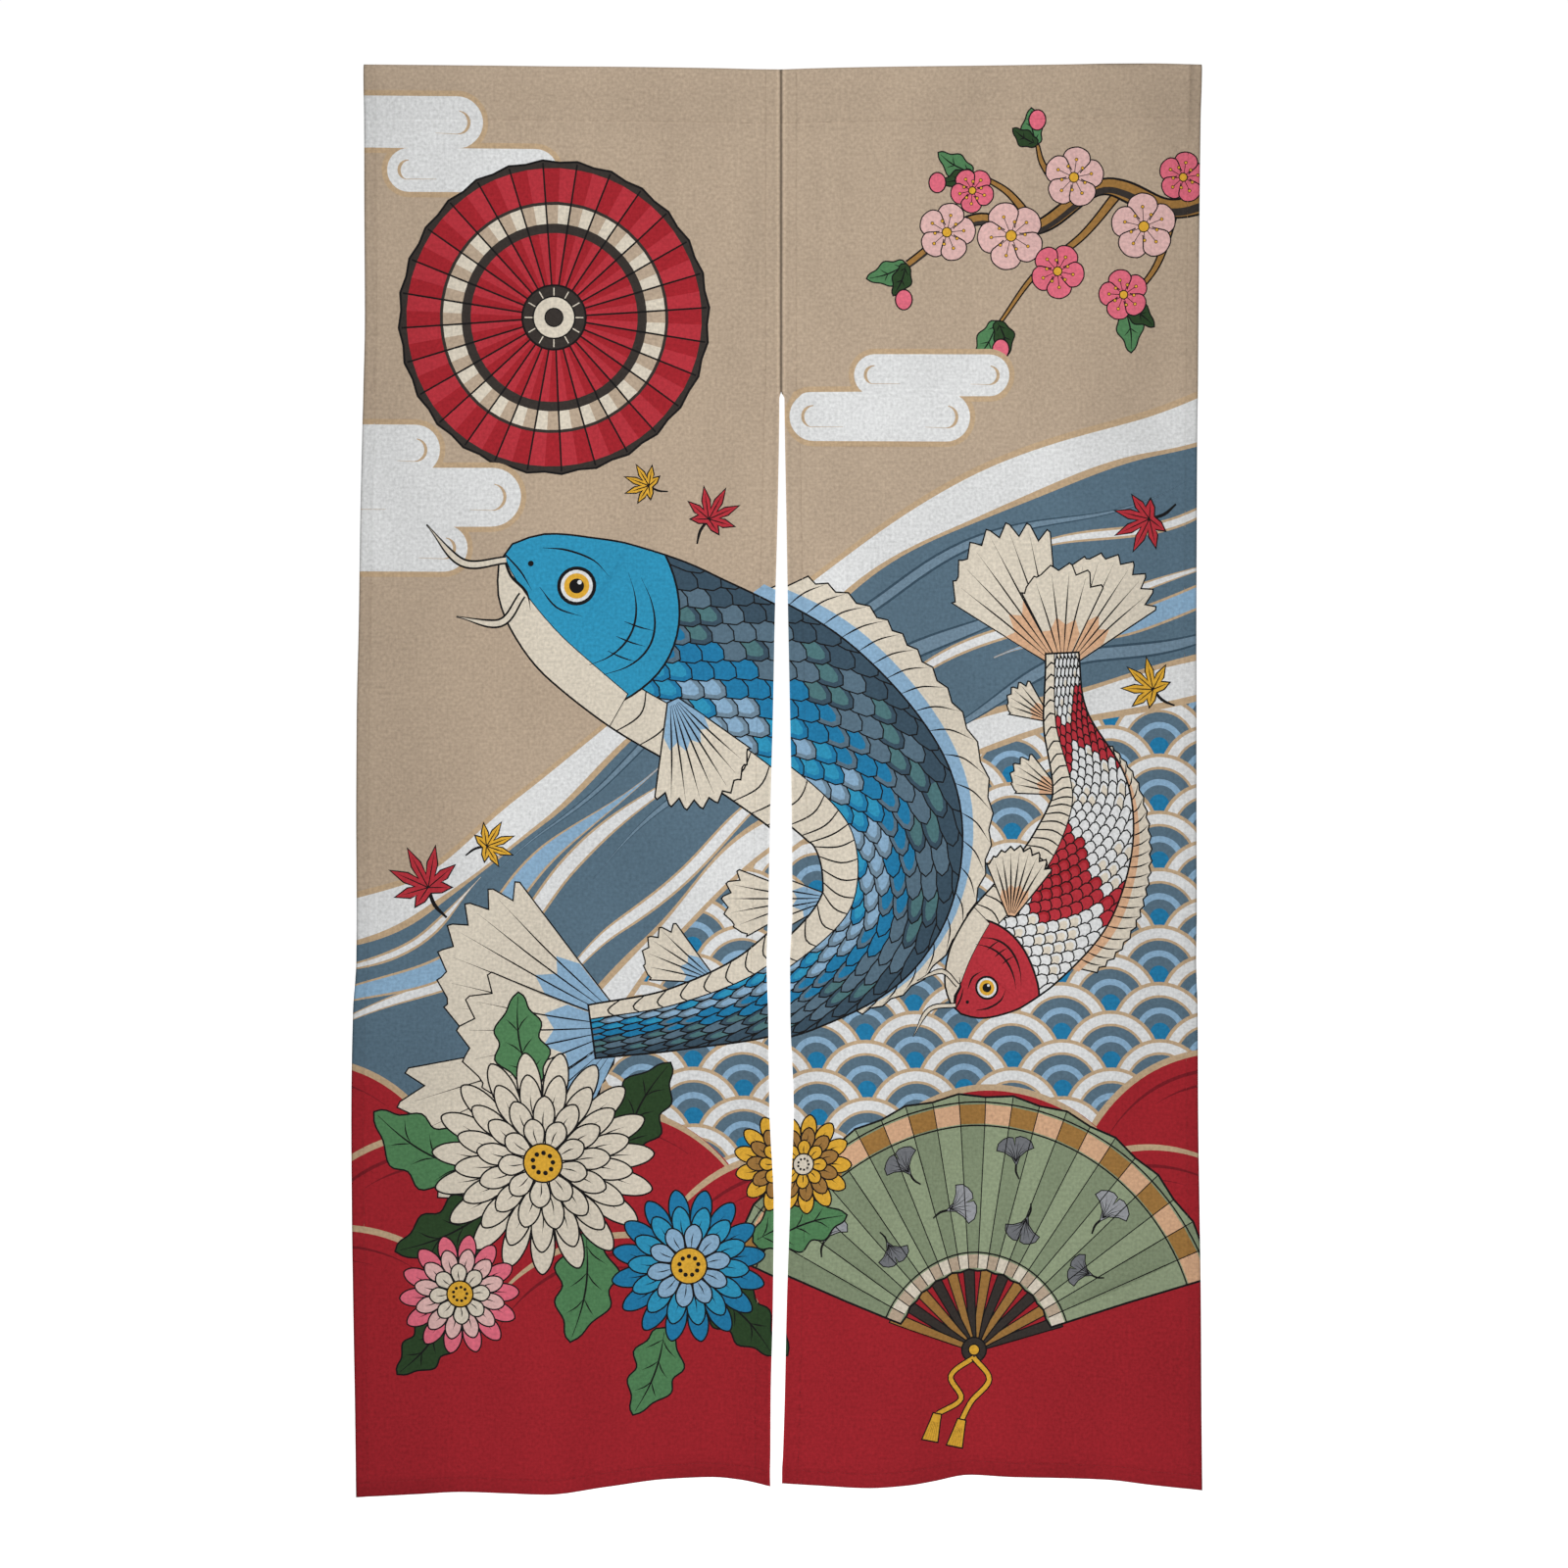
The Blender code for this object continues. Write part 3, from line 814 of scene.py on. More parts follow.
def sea(design, region):
    """Rows of round waves, one before another, inside a region."""
    design.paint(grown(region, 6), "tan_line")
    design.paint(region, "slate")
    design.clip = region
    low, high = region.min(axis=0), region.max(axis=0)
    row, y = 0, high[1] + SEA_WAVE
    while y > low[1] - SEA_WAVE:
        x = low[0] - SEA_WAVE * (row % 2)
        while x < high[0] + 2 * SEA_WAVE:
            for share, ink in WAVE_RINGS:
                design.paint(disc(x, y, SEA_WAVE * share), ink)
            x += 2 * SEA_WAVE
        y -= SEA_WAVE * 0.56
        row += 1
    design.clip = None


def umbrella(design, x, y, radius):
    """An open paper umbrella seen from above."""
    ribs, turn = 28, 4.0
    step = 360 / ribs
    rim = []
    for i in range(ribs):
        rim += [polar(radius, turn + step * i), polar(radius * 0.983, turn + step * (i + 0.5))]
    design.inked(placed(rim, x, y), "brown_black", 2.2)
    for outer, inner, ink, shade in (
        (0.955, 0.74, "vermilion", "red"),
        (0.72, 0.60, "cream", "tan"),
        (0.585, 0.555, "brown_black", "brown_black"),
        (0.54, 0.20, "vermilion", "red"),
    ):
        for i in range(2 * ribs):
            start = turn + step / 2 * i
            pane = sector(x, y, inner * radius, outer * radius, start, start + step / 2)
            design.paint(pane, shade if i % 2 else ink)
    spoke = [(radius * 0.18, 0), (radius * 0.6, 0), (radius * 0.99, 0)]
    for i in range(ribs):
        design.brush(placed(spoke, x, y, turn + step * i), 1.9, start=0.9, end=0.9)
    for share, ink, line in ((0.20, "brown_black", 2.0), (0.13, "cream", 1.6), (0.055, "brown_black", 1.2)):
        design.inked(disc(x, y, radius * share), ink, line)
    for i in range(12):
        design.brush(placed([(radius * 0.14, 0), (radius * 0.19, 0)], x, y, 30 * i), 1.4, "cream", 0.8, 0.8)


def branch(design):
    """A blossoming branch that comes in from the right edge."""
    wood = ((470, -128), (400, -150), (330, -128), (262, -168), (196, -160), (130, -204))
    twigs = (
        ((346, -134), (310, -176), (262, -214), (226, -262)),
        ((262, -168), (232, -132), (196, -112)),
        ((404, -148), (386, -206), (352, -248)),
        ((300, -146), (270, -108), (262, -84)),
    )
    buds = ((226, -290, 227, -260), (126, -240, 132, -206), (262, -60, 262, -86), (160, -122, 196, -112))
    leaves = (
        (222, -262, 44, -120),
        (196, -112, 40, 150),
        (352, -248, 46, -80),
        (128, -204, 42, 200),
        (262, -84, 36, 100),
    )
    blossoms = (
        (300, -118, 30, 10, "pale_pink"),
        (236, -176, 34, 40, "pale_pink"),
        (170, -172, 29, 5, "pale_pink"),
        (372, -168, 33, 22, "pale_pink"),
        (284, -212, 27, 60, "pink"),
        (352, -236, 25, 33, "pink"),
        (196, -130, 22, 50, "pink"),
        (412, -118, 25, 8, "pink"),
    )
    for x, y, from_x, from_y in buds:
        design.brush([(from_x, from_y), (x, y)], 3.4, start=1.0, end=0.8)
    for points in twigs:
        path = smooth(points, 5)
        design.paint(ribbon(path, np.linspace(11, 5, len(path))), "line")
        design.paint(ribbon(path, np.linspace(7.5, 2, len(path))), "ochre")
    path = smooth(wood, 5)
    knots = 1 + 0.10 * np.sin(np.linspace(0, 26, len(path)))
    design.paint(ribbon(path, np.linspace(26, 8, len(path)) * knots), "line")
    design.paint(ribbon(path, np.linspace(21, 4.5, len(path)) * knots), "ochre")
    design.paint(ribbon(path + (1, -3.5), np.linspace(9, 2, len(path))), "brown_black")
    for x, y, length, degrees in leaves:
        leaf(design, x, y, length, degrees, "green", 2, 1.4)
        leaf(design, x, y, length * 0.8, degrees + 48, "dark_green", 2, 1.4)
    for x, y, radius, turn, ink in blossoms:
        plum_blossom(design, x, y, radius, ink, turn)
    for x, y, _, _ in buds:
        design.inked(disc(x, y, 8, 1.2), "pink", 1.4)


# How wide a carp is at each share of its spine.
CARP_SHARES = (0.00, 0.02, 0.06, 0.12, 0.22, 0.34, 0.50, 0.66, 0.80, 0.92, 1.0)
CARP_WIDTHS = (0.12, 0.38, 0.62, 0.83, 0.97, 1.0, 0.89, 0.67, 0.45, 0.31, 0.28)
SCALE_ROWS, SCALES_ACROSS = 36, 7
Coat = namedtuple("Coat", "scales head belly fin fin_root")


def fin(design, x, y, degrees, length, spread, rays, coat, line=1.5):
    """A fan of rays with a scalloped edge."""
    foot = [polar(length * 0.10, spread * 0.45), polar(length * 0.10, -spread * 0.45)]
    rim, tips = [], []
    for k in range(rays + 1):
        share = k / rays
        reach = length * (0.78 + 0.22 * math.sin(math.pi * (0.15 + 0.8 * share)))
        angle = spread * (share - 0.5)
        tips.append((reach, angle))
        rim += [polar(reach * 0.985, angle - spread / rays * 0.12), polar(reach, angle)]
        if k < rays:
            rim.append(polar(reach * 0.93, angle + spread / rays * 0.6))
    design.inked(placed(foot + rim, x, y, degrees), coat.fin, line)
    root = [polar(reach * (0.52 if i % 2 else 0.44), angle) for i, (reach, angle) in enumerate(tips)]
    design.paint(placed(foot + root, x, y, degrees), coat.fin_root)
    for reach, angle in tips[1:-1]:
        root, middle = polar(length * 0.12, angle * 0.8), polar(reach * 0.55, angle * 0.94)
        ray = smooth([root, middle, polar(reach * 0.93, angle)], 6)
        design.brush(placed(ray, x, y, degrees), line * 1.05)


class Carp:
    """A carp seen from the side, drawn along its spine from its nose to the root of its tail.

    A place on it is a share of the spine and how far across, from 1 at its back to -1 at its belly. back is 1
    where its back is to the left of the spine's course, and -1 where it is to the right.
    """

    def __init__(self, design, spine, width, coat, back):
        self.design, self.width, self.coat, self.back = design, width, coat, back
        self.course = Course(spine, 6.0)
        self.half = smooth_curve(CARP_SHARES, [w * width / 2 for w in CARP_WIDTHS])

    def draw(self, seed):
        self.lower_fins()
        self.back_fin()
        body = self.body()
        self.scales(random.Random(seed))
        self.design.clip = body
        self.head()
        self.design.clip = None
        self.eye()
        self.feelers()
        heading = self.course.heading(0.27) - self.back * 38
        fin(self.design, *self.at(0.245, -0.34), heading, self.width * 0.66, 60, 8, self.coat, 1.7)

    def at(self, share, across):
        return self.course.at(share, across * self.back * self.half(share))

    def lined(self, *places, **brush):
        self.design.brush(smooth([self.at(share, across) for share, across in places], 6.0), **brush)

    def lower_fins(self):
        for share, across, tilt, reach in ((0.66, -0.75, 52, 0.50), (0.84, -0.65, 44, 0.46)):
            heading = self.course.heading(share) - self.back * tilt
            fin(self.design, *self.at(share, across), heading, self.width * reach, 48, 5, self.coat)
        root, heading = self.course.at(0.955), self.course.heading(0.975)
        for tilt, reach, rays in ((31, 1.40, 7), (-31, 1.14, 7), (0, 0.94, 5)):
            fin(self.design, *root, heading + tilt, self.width * reach, 52, rays, self.coat)

    def back_fin(self):
        rays = 22
        tips = np.linspace(0.30, 0.72, rays)
        swell = np.sin(np.pi * np.linspace(0.16, 0.95, rays)) ** 0.6
        high = 1 + 0.58 * swell * np.linspace(1.0, 0.6, rays)
        rim = []
        for k in range(rays):
            rim.append(self.at(tips[k] + 0.012, high[k]))
            if k < rays - 1:
                valley = (high[k] + high[k + 1]) / 2 - 0.055
                rim.append(self.at((tips[k] + tips[k + 1]) / 2 + 0.012, valley))
        root = self.at(np.linspace(0.74, 0.27, 40), 0.85)
        self.design.inked(np.vstack([rim, root]), self.coat.fin, 1.6)
        band = np.linspace(0.285, 0.725, 40)
        band_high = 1 + 0.40 * (np.interp(band, tips, high) - 1)
        self.design.paint(np.vstack([self.at(band, band_high), root]), self.coat.fin_root)
        for tip, reach in zip(tips[1:], high[1:]):
            middle = (tip - 0.004, 0.5 + reach / 2)
            self.lined((tip - 0.014, 0.98), middle, (tip + 0.010, reach - 0.02), width=1.6)

    def body(self):
        share = np.linspace(0, 1, 90)
        body = np.vstack([self.at(share, 1), self.at(share, -1)[::-1]])
        self.design.inked(body, self.coat.belly, 2.0)
        self.design.clip = body
        for s in np.arange(0.22, 0.99, 0.030):
            self.lined((s, -0.40), (s + 0.010, -0.72), (s - 0.010, -1.1), width=1.7, start=0.6, end=0.6)
        self.design.clip = None
        return body

    def scales(self, draws):
        """Rows of scales from the tail forward, each row over the one behind it."""
        along = np.linspace(0.12, 1.0, 80)
        side = np.vstack([self.at(along, 1), self.at(along, -0.46)[::-1]])
        self.design.paint(grown(side, 1.3), "line")
        self.design.paint(side, self.coat.fin_root)
        self.design.clip = side
        pitch, step = 0.82 / SCALE_ROWS, 1.50 / (SCALES_ACROSS - 0.5)
        long = self.course.length * pitch * 1.75
        u = np.radians(np.linspace(-90, 90, 7))
        for row in range(SCALE_ROWS):
            share = 0.985 - pitch * row
            heading = self.course.heading(share)
            tall = self.half(share) * step * 0.62
            scale = np.stack([long * np.cos(u) - 0.3 * long, tall * np.sin(u)], axis=-1)
            scale = np.vstack([scale, [(-0.75 * long, tall * 0.9), (-0.75 * long, -tall * 0.9)]])
            inner = scale * 0.62 + (0.10 * long, 0)
            for i in range(SCALES_ACROSS):
                across = -0.44 + step * (i + 0.5 * (row % 2))
                x, y = self.at(share, across)
                shape = placed(scale, x, y, heading)
                self.design.paint(grown(shape, 1.4), "line")
                ink, inner_ink = self.coat.scales(share, across, draws)
                self.design.paint(shape, ink)
                if inner_ink:
                    self.design.paint(placed(inner, x, y, heading), inner_ink)

    def head(self):
        gill = np.linspace(-1.15, 1.15, 21)
        edge = self.at(0.225 - 0.055 * (gill + 0.05) ** 2, gill)
        front = np.linspace(0.12, -0.01, 10)
        head = np.vstack([edge, self.at(front, 1.15), self.at(front[::-1], -1.15)])
        self.design.inked(head, self.coat.head, 2.2)
        throat = np.linspace(0.205, 0.0, 14)
        chin = np.vstack([self.at(throat, np.linspace(-0.60, -0.34, 14)), self.at(throat[::-1], -1.2)])
        self.design.paint(grown(chin, 0.9), "line")
        self.design.paint(chin, self.coat.belly)
        for size in (1.0, 0.80):
            gill = np.linspace(-0.56, 0.66, 7)
            self.lined(*[(0.070 + 0.130 * size * math.cos((g + 0.02) * 1.3), g) for g in gill], width=2.2)
        for g in (-0.30, -0.10, 0.10):
            self.lined((0.160, g), (0.178, g + 0.02), (0.196, g + 0.06), width=1.6)
        self.lined((-0.002, -0.36), (0.020, -0.42), (0.046, -0.36), (0.062, -0.52), width=3.0, start=0.9)
        self.lined((-0.002, -0.10), (0.026, -0.14), (0.050, -0.26), width=1.8, start=0.8)
        self.lined((0.030, 0.62), (0.055, 0.70), (0.090, 0.66), (0.118, 0.52), width=2.0)
        self.lined((0.055, -0.12), (0.085, -0.20), (0.115, -0.10), width=1.8)

    def eye(self):
        x, y = self.at(0.090, 0.22)
        for size, ink in ((0.105, "line"), (0.086, "white"), (0.068, "gold"), (0.040, "line")):
            self.design.paint(disc(x, y, self.width * size), ink)
        self.design.paint(disc(x + self.width * 0.015, y + self.width * 0.02, self.width * 0.012), "white")
        self.design.paint(disc(*self.at(0.030, 0.16), self.width * 0.016), "line")

    def feelers(self):
        for share, across, tilt, reach in ((0.004, -0.30, 25, 0.46), (0.044, -0.46, 70, 0.36)):
            way = self.course.heading(0.03) + 180 + self.back * tilt
            bend, end = (reach * 0.5, 0.06 * self.back), (reach, -0.10 * self.back)
            path = smooth(np.array([(0, 0), bend, end]) * self.width, 5)
            path = placed(path, *self.at(share, across), way)
            self.design.brush(path, self.width * 0.050, "line", 0.9, 0.2)
            self.design.brush(path, self.width * 0.028, self.coat.fin, 0.9, 0.0)


def blue_scales(share, across, draws):
    draw = draws.random()
    if across > 0.72:
        return ("deep_slate", None)
    if across > 0.30:
        return ("slate", None) if draw < 0.6 else ("deep_slate", "teal")
    if across > 0.02:
        return ("blue", None) if draw < 0.7 else ("slate", "blue")
    return ("pale_slate", "light_blue") if draw < 0.55 else ("blue", "bright_blue")


def patched_scales(share, across, draws):
    patch = math.sin(share * 17 + 0.8) + 0.7 * math.sin(across * 3.1 + share * 6)
    if patch > 0.25:
        return ("vermilion", None) if draws.random() < 0.7 else ("red", "vermilion")
    return ("white", None) if draws.random() < 0.75 else ("white", "cream")


BLUE_COAT = Coat(blue_scales, "bright_blue", "cream", "cream", "light_blue")
PATCHED_COAT = Coat(patched_scales, "vermilion", "cream", "cream", "peach")


def folding_fan(design, x, y, inner, outer, start, end):
    """An open folding fan: a pleated sheet with a border and scattered leaves, and sticks to the rivet."""
    folds = 22
    step = (end - start) / folds
    blade = [(8, -2.2), (inner + 10, -5.4), (inner + 10, 5.4), (8, 2.2)]
    for i in range(folds // 2 + 1):
        degrees = min(max(start + step * 2 * i, start + 1.2), end - 1.2)
        design.inked(placed(blade, x, y, degrees), "ochre" if i % 2 else "brown_black", 1.3)
    design.inked(disc(x, y, 12), "brown_black", 1.6)
    design.inked(disc(x, y, 5), "gold", 1.2)
    angles = [start + step * k for k in range(folds + 1)]
    rim = [polar(outer - (4 if k % 2 else 0), a) for k, a in enumerate(angles)]
    root = [polar(inner - (2 if k % 2 else 0), a) for k, a in enumerate(angles)]
    sheet = placed(rim + root[::-1], x, y)
    design.inked(sheet, "sage", 2.2)
    design.clip = sheet
    for low, high, ink, shade in (
        (inner - 5, outer + 5, "sage", "sage_shade"),
        (outer - 30, outer - 10, "peach", "ochre"),
        (inner, inner + 14, "cream", "tan"),
    ):
        for k in range(folds):
            design.paint(sector(x, y, low, high, angles[k], angles[k + 1]), shade if k % 2 else ink)
    for radius in (outer - 32, outer - 8, inner + 16):
        design.brush(arc(x, y, radius, start, end), 1.6, start=1, end=1)
    for reach, share, size, turn, ink in (
        (0.32, 0.12, 20, 160, "grey"),
        (0.62, 0.20, 25, 50, "mid_grey"),
        (0.32, 0.36, 22, 250, "grey"),
        (0.66, 0.43, 23, 95, "grey"),
        (0.36, 0.58, 25, 20, "mid_grey"),
        (0.66, 0.67, 23, 130, "grey"),
        (0.32, 0.80, 20, 300, "grey"),
        (0.64, 0.89, 24, 75, "mid_grey"),
    ):
        leaf_x, leaf_y = polar(inner + (outer - inner) * reach, start + (end - start) * share)
        ginkgo_leaf(design, x + leaf_x, y + leaf_y, size, turn, ink, 1.1)
    for angle in angles[1:-1]:
        design.brush(placed([polar(inner, angle), polar(outer, angle)], x, y), 1.1, start=1, end=1)
    design.clip = None


def tassel(design, x, y):
    """The fan's knotted cord, with a tuft at each end."""
    cords = (((0, 0), (-24, -18), (-13, -42), (-38, -56)), ((0, 0), (16, -22), (-2, -45), (-12, -64)))
    tuft = [(0, -4), (8, -5), (27, -8), (27, 8), (8, 5), (0, 4)]
    for cord in cords:
        path = smooth(np.array(cord) + (x, y), 4)
        design.paint(ribbon(path, np.full(len(path), 7.0)), "line")
        design.paint(ribbon(path, np.full(len(path), 4.4)), "gold")
        design.inked(placed(tuft, *path[-1], -105), "gold", 1.4)
        for k in range(-2, 3):
            design.brush(placed([(8, k * 1.4), (27, k * 2.7)], *path[-1], -105), 1.1)


SEA_EDGE = (
    (20, -700),
    (150, -640),
    (300, -600),
    (460, -560),
    (480, -900),
    (460, -1100),
    (200, -1130),
    (-60, -1130),
    (-180, -1000),
    (-120, -860),
)
# Rows of (x, top, radius, start, end): a hill's place and size, and the arc of its rim line in degrees.
HILLS = (
    (-470, -1010, 150, 120, -5),
    (460, -1000, 170, 185, 60),
    (-170, -1060, 160, 180, 0),
    (210, -1040, 170, 180, 0),
    (-340, -1085, 165, 170, 5),
    (30, -1105, 170, 178, 8),
    (380, -1100, 165, 172, 40),
    (-440, -1180, 160, 120, 20),
    (-150, -1190, 170, 152, 28),
    (210, -1170, 165, 142, 38),
)
FALLEN_LEAVES = (
    (-352, -838, 44, 118, "vermilion"),
    (-292, -796, 29, 20, "gold"),
    (380, -462, 38, 205, "vermilion"),
    (-70, -462, 34, 62, "vermilion"),
    (-132, -428, 25, 160, "gold"),
    (384, -636, 34, 140, "gold"),
)
BIG_SPINE = (
    (-276, -498),
    (-205, -548),
    (-110, -600),
    (10, -668),
    (96, -760),
    (92, -866),
    (10, -938),
    (-90, -972),
    (-180, -985),
)
SMALL_SPINE = ((176, -962), (226, -908), (290, -838), (318, -752), (292, -668), (288, -600))
BLOOM_LEAVES = (
    (-300, -1130, 120, 148, "green"),
    (-280, -1160, 112, 205, "dark_green"),
    (-190, -1190, 110, 262, "green"),
    (-150, -1110, 104, 62, "dark_green"),
    (-240, -1040, 96, 100, "green"),
    (-70, -1250, 96, 318, "dark_green"),
    (-110, -1290, 92, 250, "green"),
    (-20, -1200, 84, 20, "green"),
    (-330, -1270, 80, 230, "dark_green"),
)
CREAM_RINGS = ((1.0, 19, "cream"), (0.80, 17, "cream"), (0.60, 13, "cream"), (0.40, 9, "cream"))
BLUE_RINGS = ((1.0, 16, "blue"), (0.78, 14, "bright_blue"), (0.54, 10, "light_blue"))
PINK_RINGS = ((1.0, 14, "pink"), (0.76, 12, "pale_pink"), (0.50, 8, "cream"))
GOLD_RINGS = ((1.0, 13, "gold"), (0.74, 11, "ochre"), (0.48, 8, "gold"))


def drawn_design():
    """The whole print, from the ground up."""
    design = Design()
    mist(design, ((-470, -330, -62, 26), (-380, -250, -110, 22)))
    umbrella(design, -232, -258, 158)
    mist(design, ((-480, -372, -392, 26), (-430, -292, -440, 30), (-500, -340, -492, 24)))
    branch(design)
    mist(design, ((96, 214, -316, 21), (30, 168, -358, 25)))
    sea(design, smooth(SEA_EDGE, 14, closed=True))
    stream(design)
    design.paint([(-500, -1190), (500, -1190), (500, -1600), (-500, -1600)], "red")
    mounds(design, HILLS)
    for x, y, size, turn, ink in FALLEN_LEAVES:
        maple_leaf(design, x, y, size, turn, ink)
    Carp(design, BIG_SPINE, 190, BLUE_COAT, back=1).draw(seed=5)
    Carp(design, SMALL_SPINE, 118, PATCHED_COAT, back=-1).draw(seed=8)
    folding_fan(design, 196, -1312, 84, 262, 18, 158)
    tassel(design, 196, -1320)
    for x, y, length, degrees, ink in BLOOM_LEAVES:
        leaf(design, x, y, length, degrees, ink, 3, 1.7)
    bloom(design, -232, -1118, 112, CREAM_RINGS, turn=4, line=1.7)
    bloom(design, -86, -1226, 78, BLUE_RINGS, turn=10, line=1.6)
    bloom(design, -318, -1252, 60, PINK_RINGS, turn=3)
    bloom(design, 12, -1120, 50, GOLD_RINGS, heart="cream")
    return design


# The cloth's mesh


def linear(colour):
    """Display colour from 0 to 255 as linear light."""
    shares = [c / 255 for c in colour]
    return [s / 12.92 if s <= 0.04045 else ((s + 0.055) / 1.055) ** 2.4 for s in shares]


def ink_table():
    return np.array([linear(INKS[name]) + [1.0] for name in INK_NAMES])


def print_span(cloth):
    """The span of a cloth in the print's millimetres, with one to spare at each side."""
    return cloth.low / MM - 1, cloth.high / MM + 1


def in_view(design, low, high):
    """The shapes that reach one cloth, each with its place in the order of painting."""
    found = []
    for order, shape in enumerate(design.shapes):
        (left, bottom), (right, top) = shape.outline.min(axis=0), shape.outline.max(axis=0)
        if right > low and left < high and top > LOWEST_PRINT and bottom < HIGHEST_PRINT:
            found.append((order, shape))
    return found


def lines_of_print(used, low, high):
    """Both ends of every drawn edge that shows. An edge is hidden where later shapes cover its ends and its
    middle."""
    starts = np.vstack([shape.outline for _, shape in used])
    ends = np.vstack([np.roll(shape.outline, -1, axis=0) for _, shape in used])
    orders = np.concatenate([np.full(len(shape.outline), order) for order, shape in used])
    upper, lower = np.maximum(starts, ends), np.minimum(starts, ends)
    beyond = (upper[:, 0] < low) | (lower[:, 0] > high)
    beyond |= (upper[:, 1] < LOWEST_PRINT) | (lower[:, 1] > HIGHEST_PRINT)
    order_of = {id(shape.outline): order for order, shape in used}
    hidden = np.ones(len(starts), bool)
    for share in (0.0, 0.5, 1.0):
        places = starts + (ends - starts) * share
        spread = Spread(places)
        covered = np.zeros(len(starts), bool)
        for order, shape in used:
            under = spread.near(shape.outline)
            under = under[(orders[under] < order) & ~covered[under] & hidden[under]]
            under = under[inside(places[under], shape.outline)]
            if shape.clip is not None:
                under = under[inside(places[under], shape.clip)]
                # A clip's own outline stays, because what it clips ends there.
                under = under[orders[under] != order_of[id(shape.clip)]]
            covered[under] = True
        hidden &= covered
    clips = {id(shape.clip): shape.clip for _, shape in used if shape.clip is not None}
    for key, clip in clips.items():
        members = [order for order, shape in used if id(shape.clip) == key]
        own = np.nonzero(np.isin(orders, members) & ~hidden)[0]
        outside = ~inside(starts[own], clip) & ~inside(ends[own], clip)
        hidden[own[outside]] = True
    shown = ~(hidden | beyond)
    return starts[shown], ends[shown]


def inks_at(points, used):
    """The ink that shows at each point: an index into INK_NAMES."""
    found = np.zeros(len(points), int)
    spread = Spread(points)
    for _, shape in used:
        near = spread.near(shape.outline)
        near = near[inside(points[near], shape.outline)]
        if shape.clip is not None:
            near = near[inside(points[near], shape.clip)]
        found[near] = INK_NAMES.index(shape.ink)
    return found


def cloth_lines(cloth):
    """The cloth's outline, its hems' steps and stitch lines, and the rows over the top fold, as polylines in
    metres."""
    low, high, belly = cloth.low, cloth.high, POCKET_FLOOR + FOLD_RUN
    xs = np.linspace(low, high, round((high - low) / LINE_PITCH) + 1)
    foot = cloth.foot_run(xs)
    lines = [np.stack([xs, foot - offset], axis=-1) for offset in FOOT_ROWS]
    lines += [np.stack([xs, foot - FOOT_STITCH + step], axis=-1) for step in TROUGH_ROWS]
    rows = [-FLAP_RUN, FLAP_HEM - FLAP_RUN, FLAP_HEM - FLAP_RUN + HEM_STEP]
    rows += [STITCH_RUN + step for step in TROUGH_ROWS]
    rows += [QUARTER * k / 5 for k in range(-5, 6)]
    rows += [side * (belly - POCKET_BELLY * k / 4) for k in range(5) for side in (-1, 1)]
    rows += [STITCH_RUN + step for step in POCKET_ROWS] + [*RIDGE_ROWS]
    for row in rows:
        lines.append(np.stack([xs, np.full(len(xs), row)], axis=-1))
    hem = [HEM_STITCH + step for step in TROUGH_ROWS] + [SIDE_HEM, SIDE_HEM + HEM_STEP]
    for edge, way in ((low, 1), (high, -1)):
        extra, rolled = (SEAM_HEM_EXTRA, SEAM_ROWS) if edge == 0.0 else (0.0, OUTER_ROWS)
        for offset in [*EDGE_ROWS, *rolled] + [extra + place for place in hem]:
            x = edge + way * offset
            bottom = float(cloth.foot_run(np.array(x)))
            runs = np.linspace(-FLAP_RUN, bottom, round((bottom + FLAP_RUN) / LINE_PITCH) + 1)
            runs = np.unique(np.concatenate([runs, [SLIT_RUN + step for step in SLIT_ROWS]]))
            lines.append(np.stack([np.full(len(runs), x), runs], axis=-1))
    return lines


def flat_mesh(used, cloth):
    """The cloth in the flat, cut up along the print's edges: points in metres (x, run), triangles, and an ink
    for each triangle."""
    low, high = cloth.low, cloth.high
    starts, ends = lines_of_print(used, *print_span(cloth))
    points = [starts * (MM, -MM), ends * (MM, -MM)]
    count = len(starts)
    pairs = [np.stack([np.arange(count), count + np.arange(count)], axis=-1)]
    count *= 2
    for line in cloth_lines(cloth):
        points.append(line)
        pairs.append(count + np.stack([np.arange(len(line) - 1), np.arange(1, len(line))], axis=-1))
        count += len(line)
    deepest = float(cloth.foot_run(np.linspace(low, high, 50)).max())
    xs = np.linspace(low, high, round((high - low) / GRID_PITCH) + 1)[1:-1]
    runs = np.linspace(-FLAP_RUN, deepest, round((deepest + FLAP_RUN) / GRID_PITCH) + 1)[1:-1]
    points.append(np.stack(np.meshgrid(xs, runs), axis=-1).reshape(-1, 2))
    points, pairs = np.vstack(points), np.vstack(pairs)
    flipped = points * (1000, -1000)  # in millimetres and face up, for the triangulation's merge distance
    places = [Vector(point) for point in flipped.tolist()]
    found = delaunay_2d_cdt(places, pairs.tolist(), [], 0, MERGE_DISTANCE, False)
    flat = np.array([tuple(v) for v in found[0]]) * (MM, -MM)
    triangles = np.array([t for t in found[2] if len(t) == 3], int)
    corners = flat[triangles]
    middles = corners.mean(axis=1)
    area = np.abs(np.cross(corners[:, 1] - corners[:, 0], corners[:, 2] - corners[:, 0])) / 2
    within = (middles[:, 0] > low) & (middles[:, 0] < high) & (middles[:, 1] > -FLAP_RUN)
    within &= middles[:, 1] < cloth.foot_run(middles[:, 0])
    within &= area > LEAST_AREA
    triangles = triangles[within]
    inks = inks_at(middles[within] * (1 / MM, -1 / MM), used)
    kept, triangles = np.unique(triangles, return_inverse=True)
    return flat[kept], triangles.reshape(-1, 3), inks


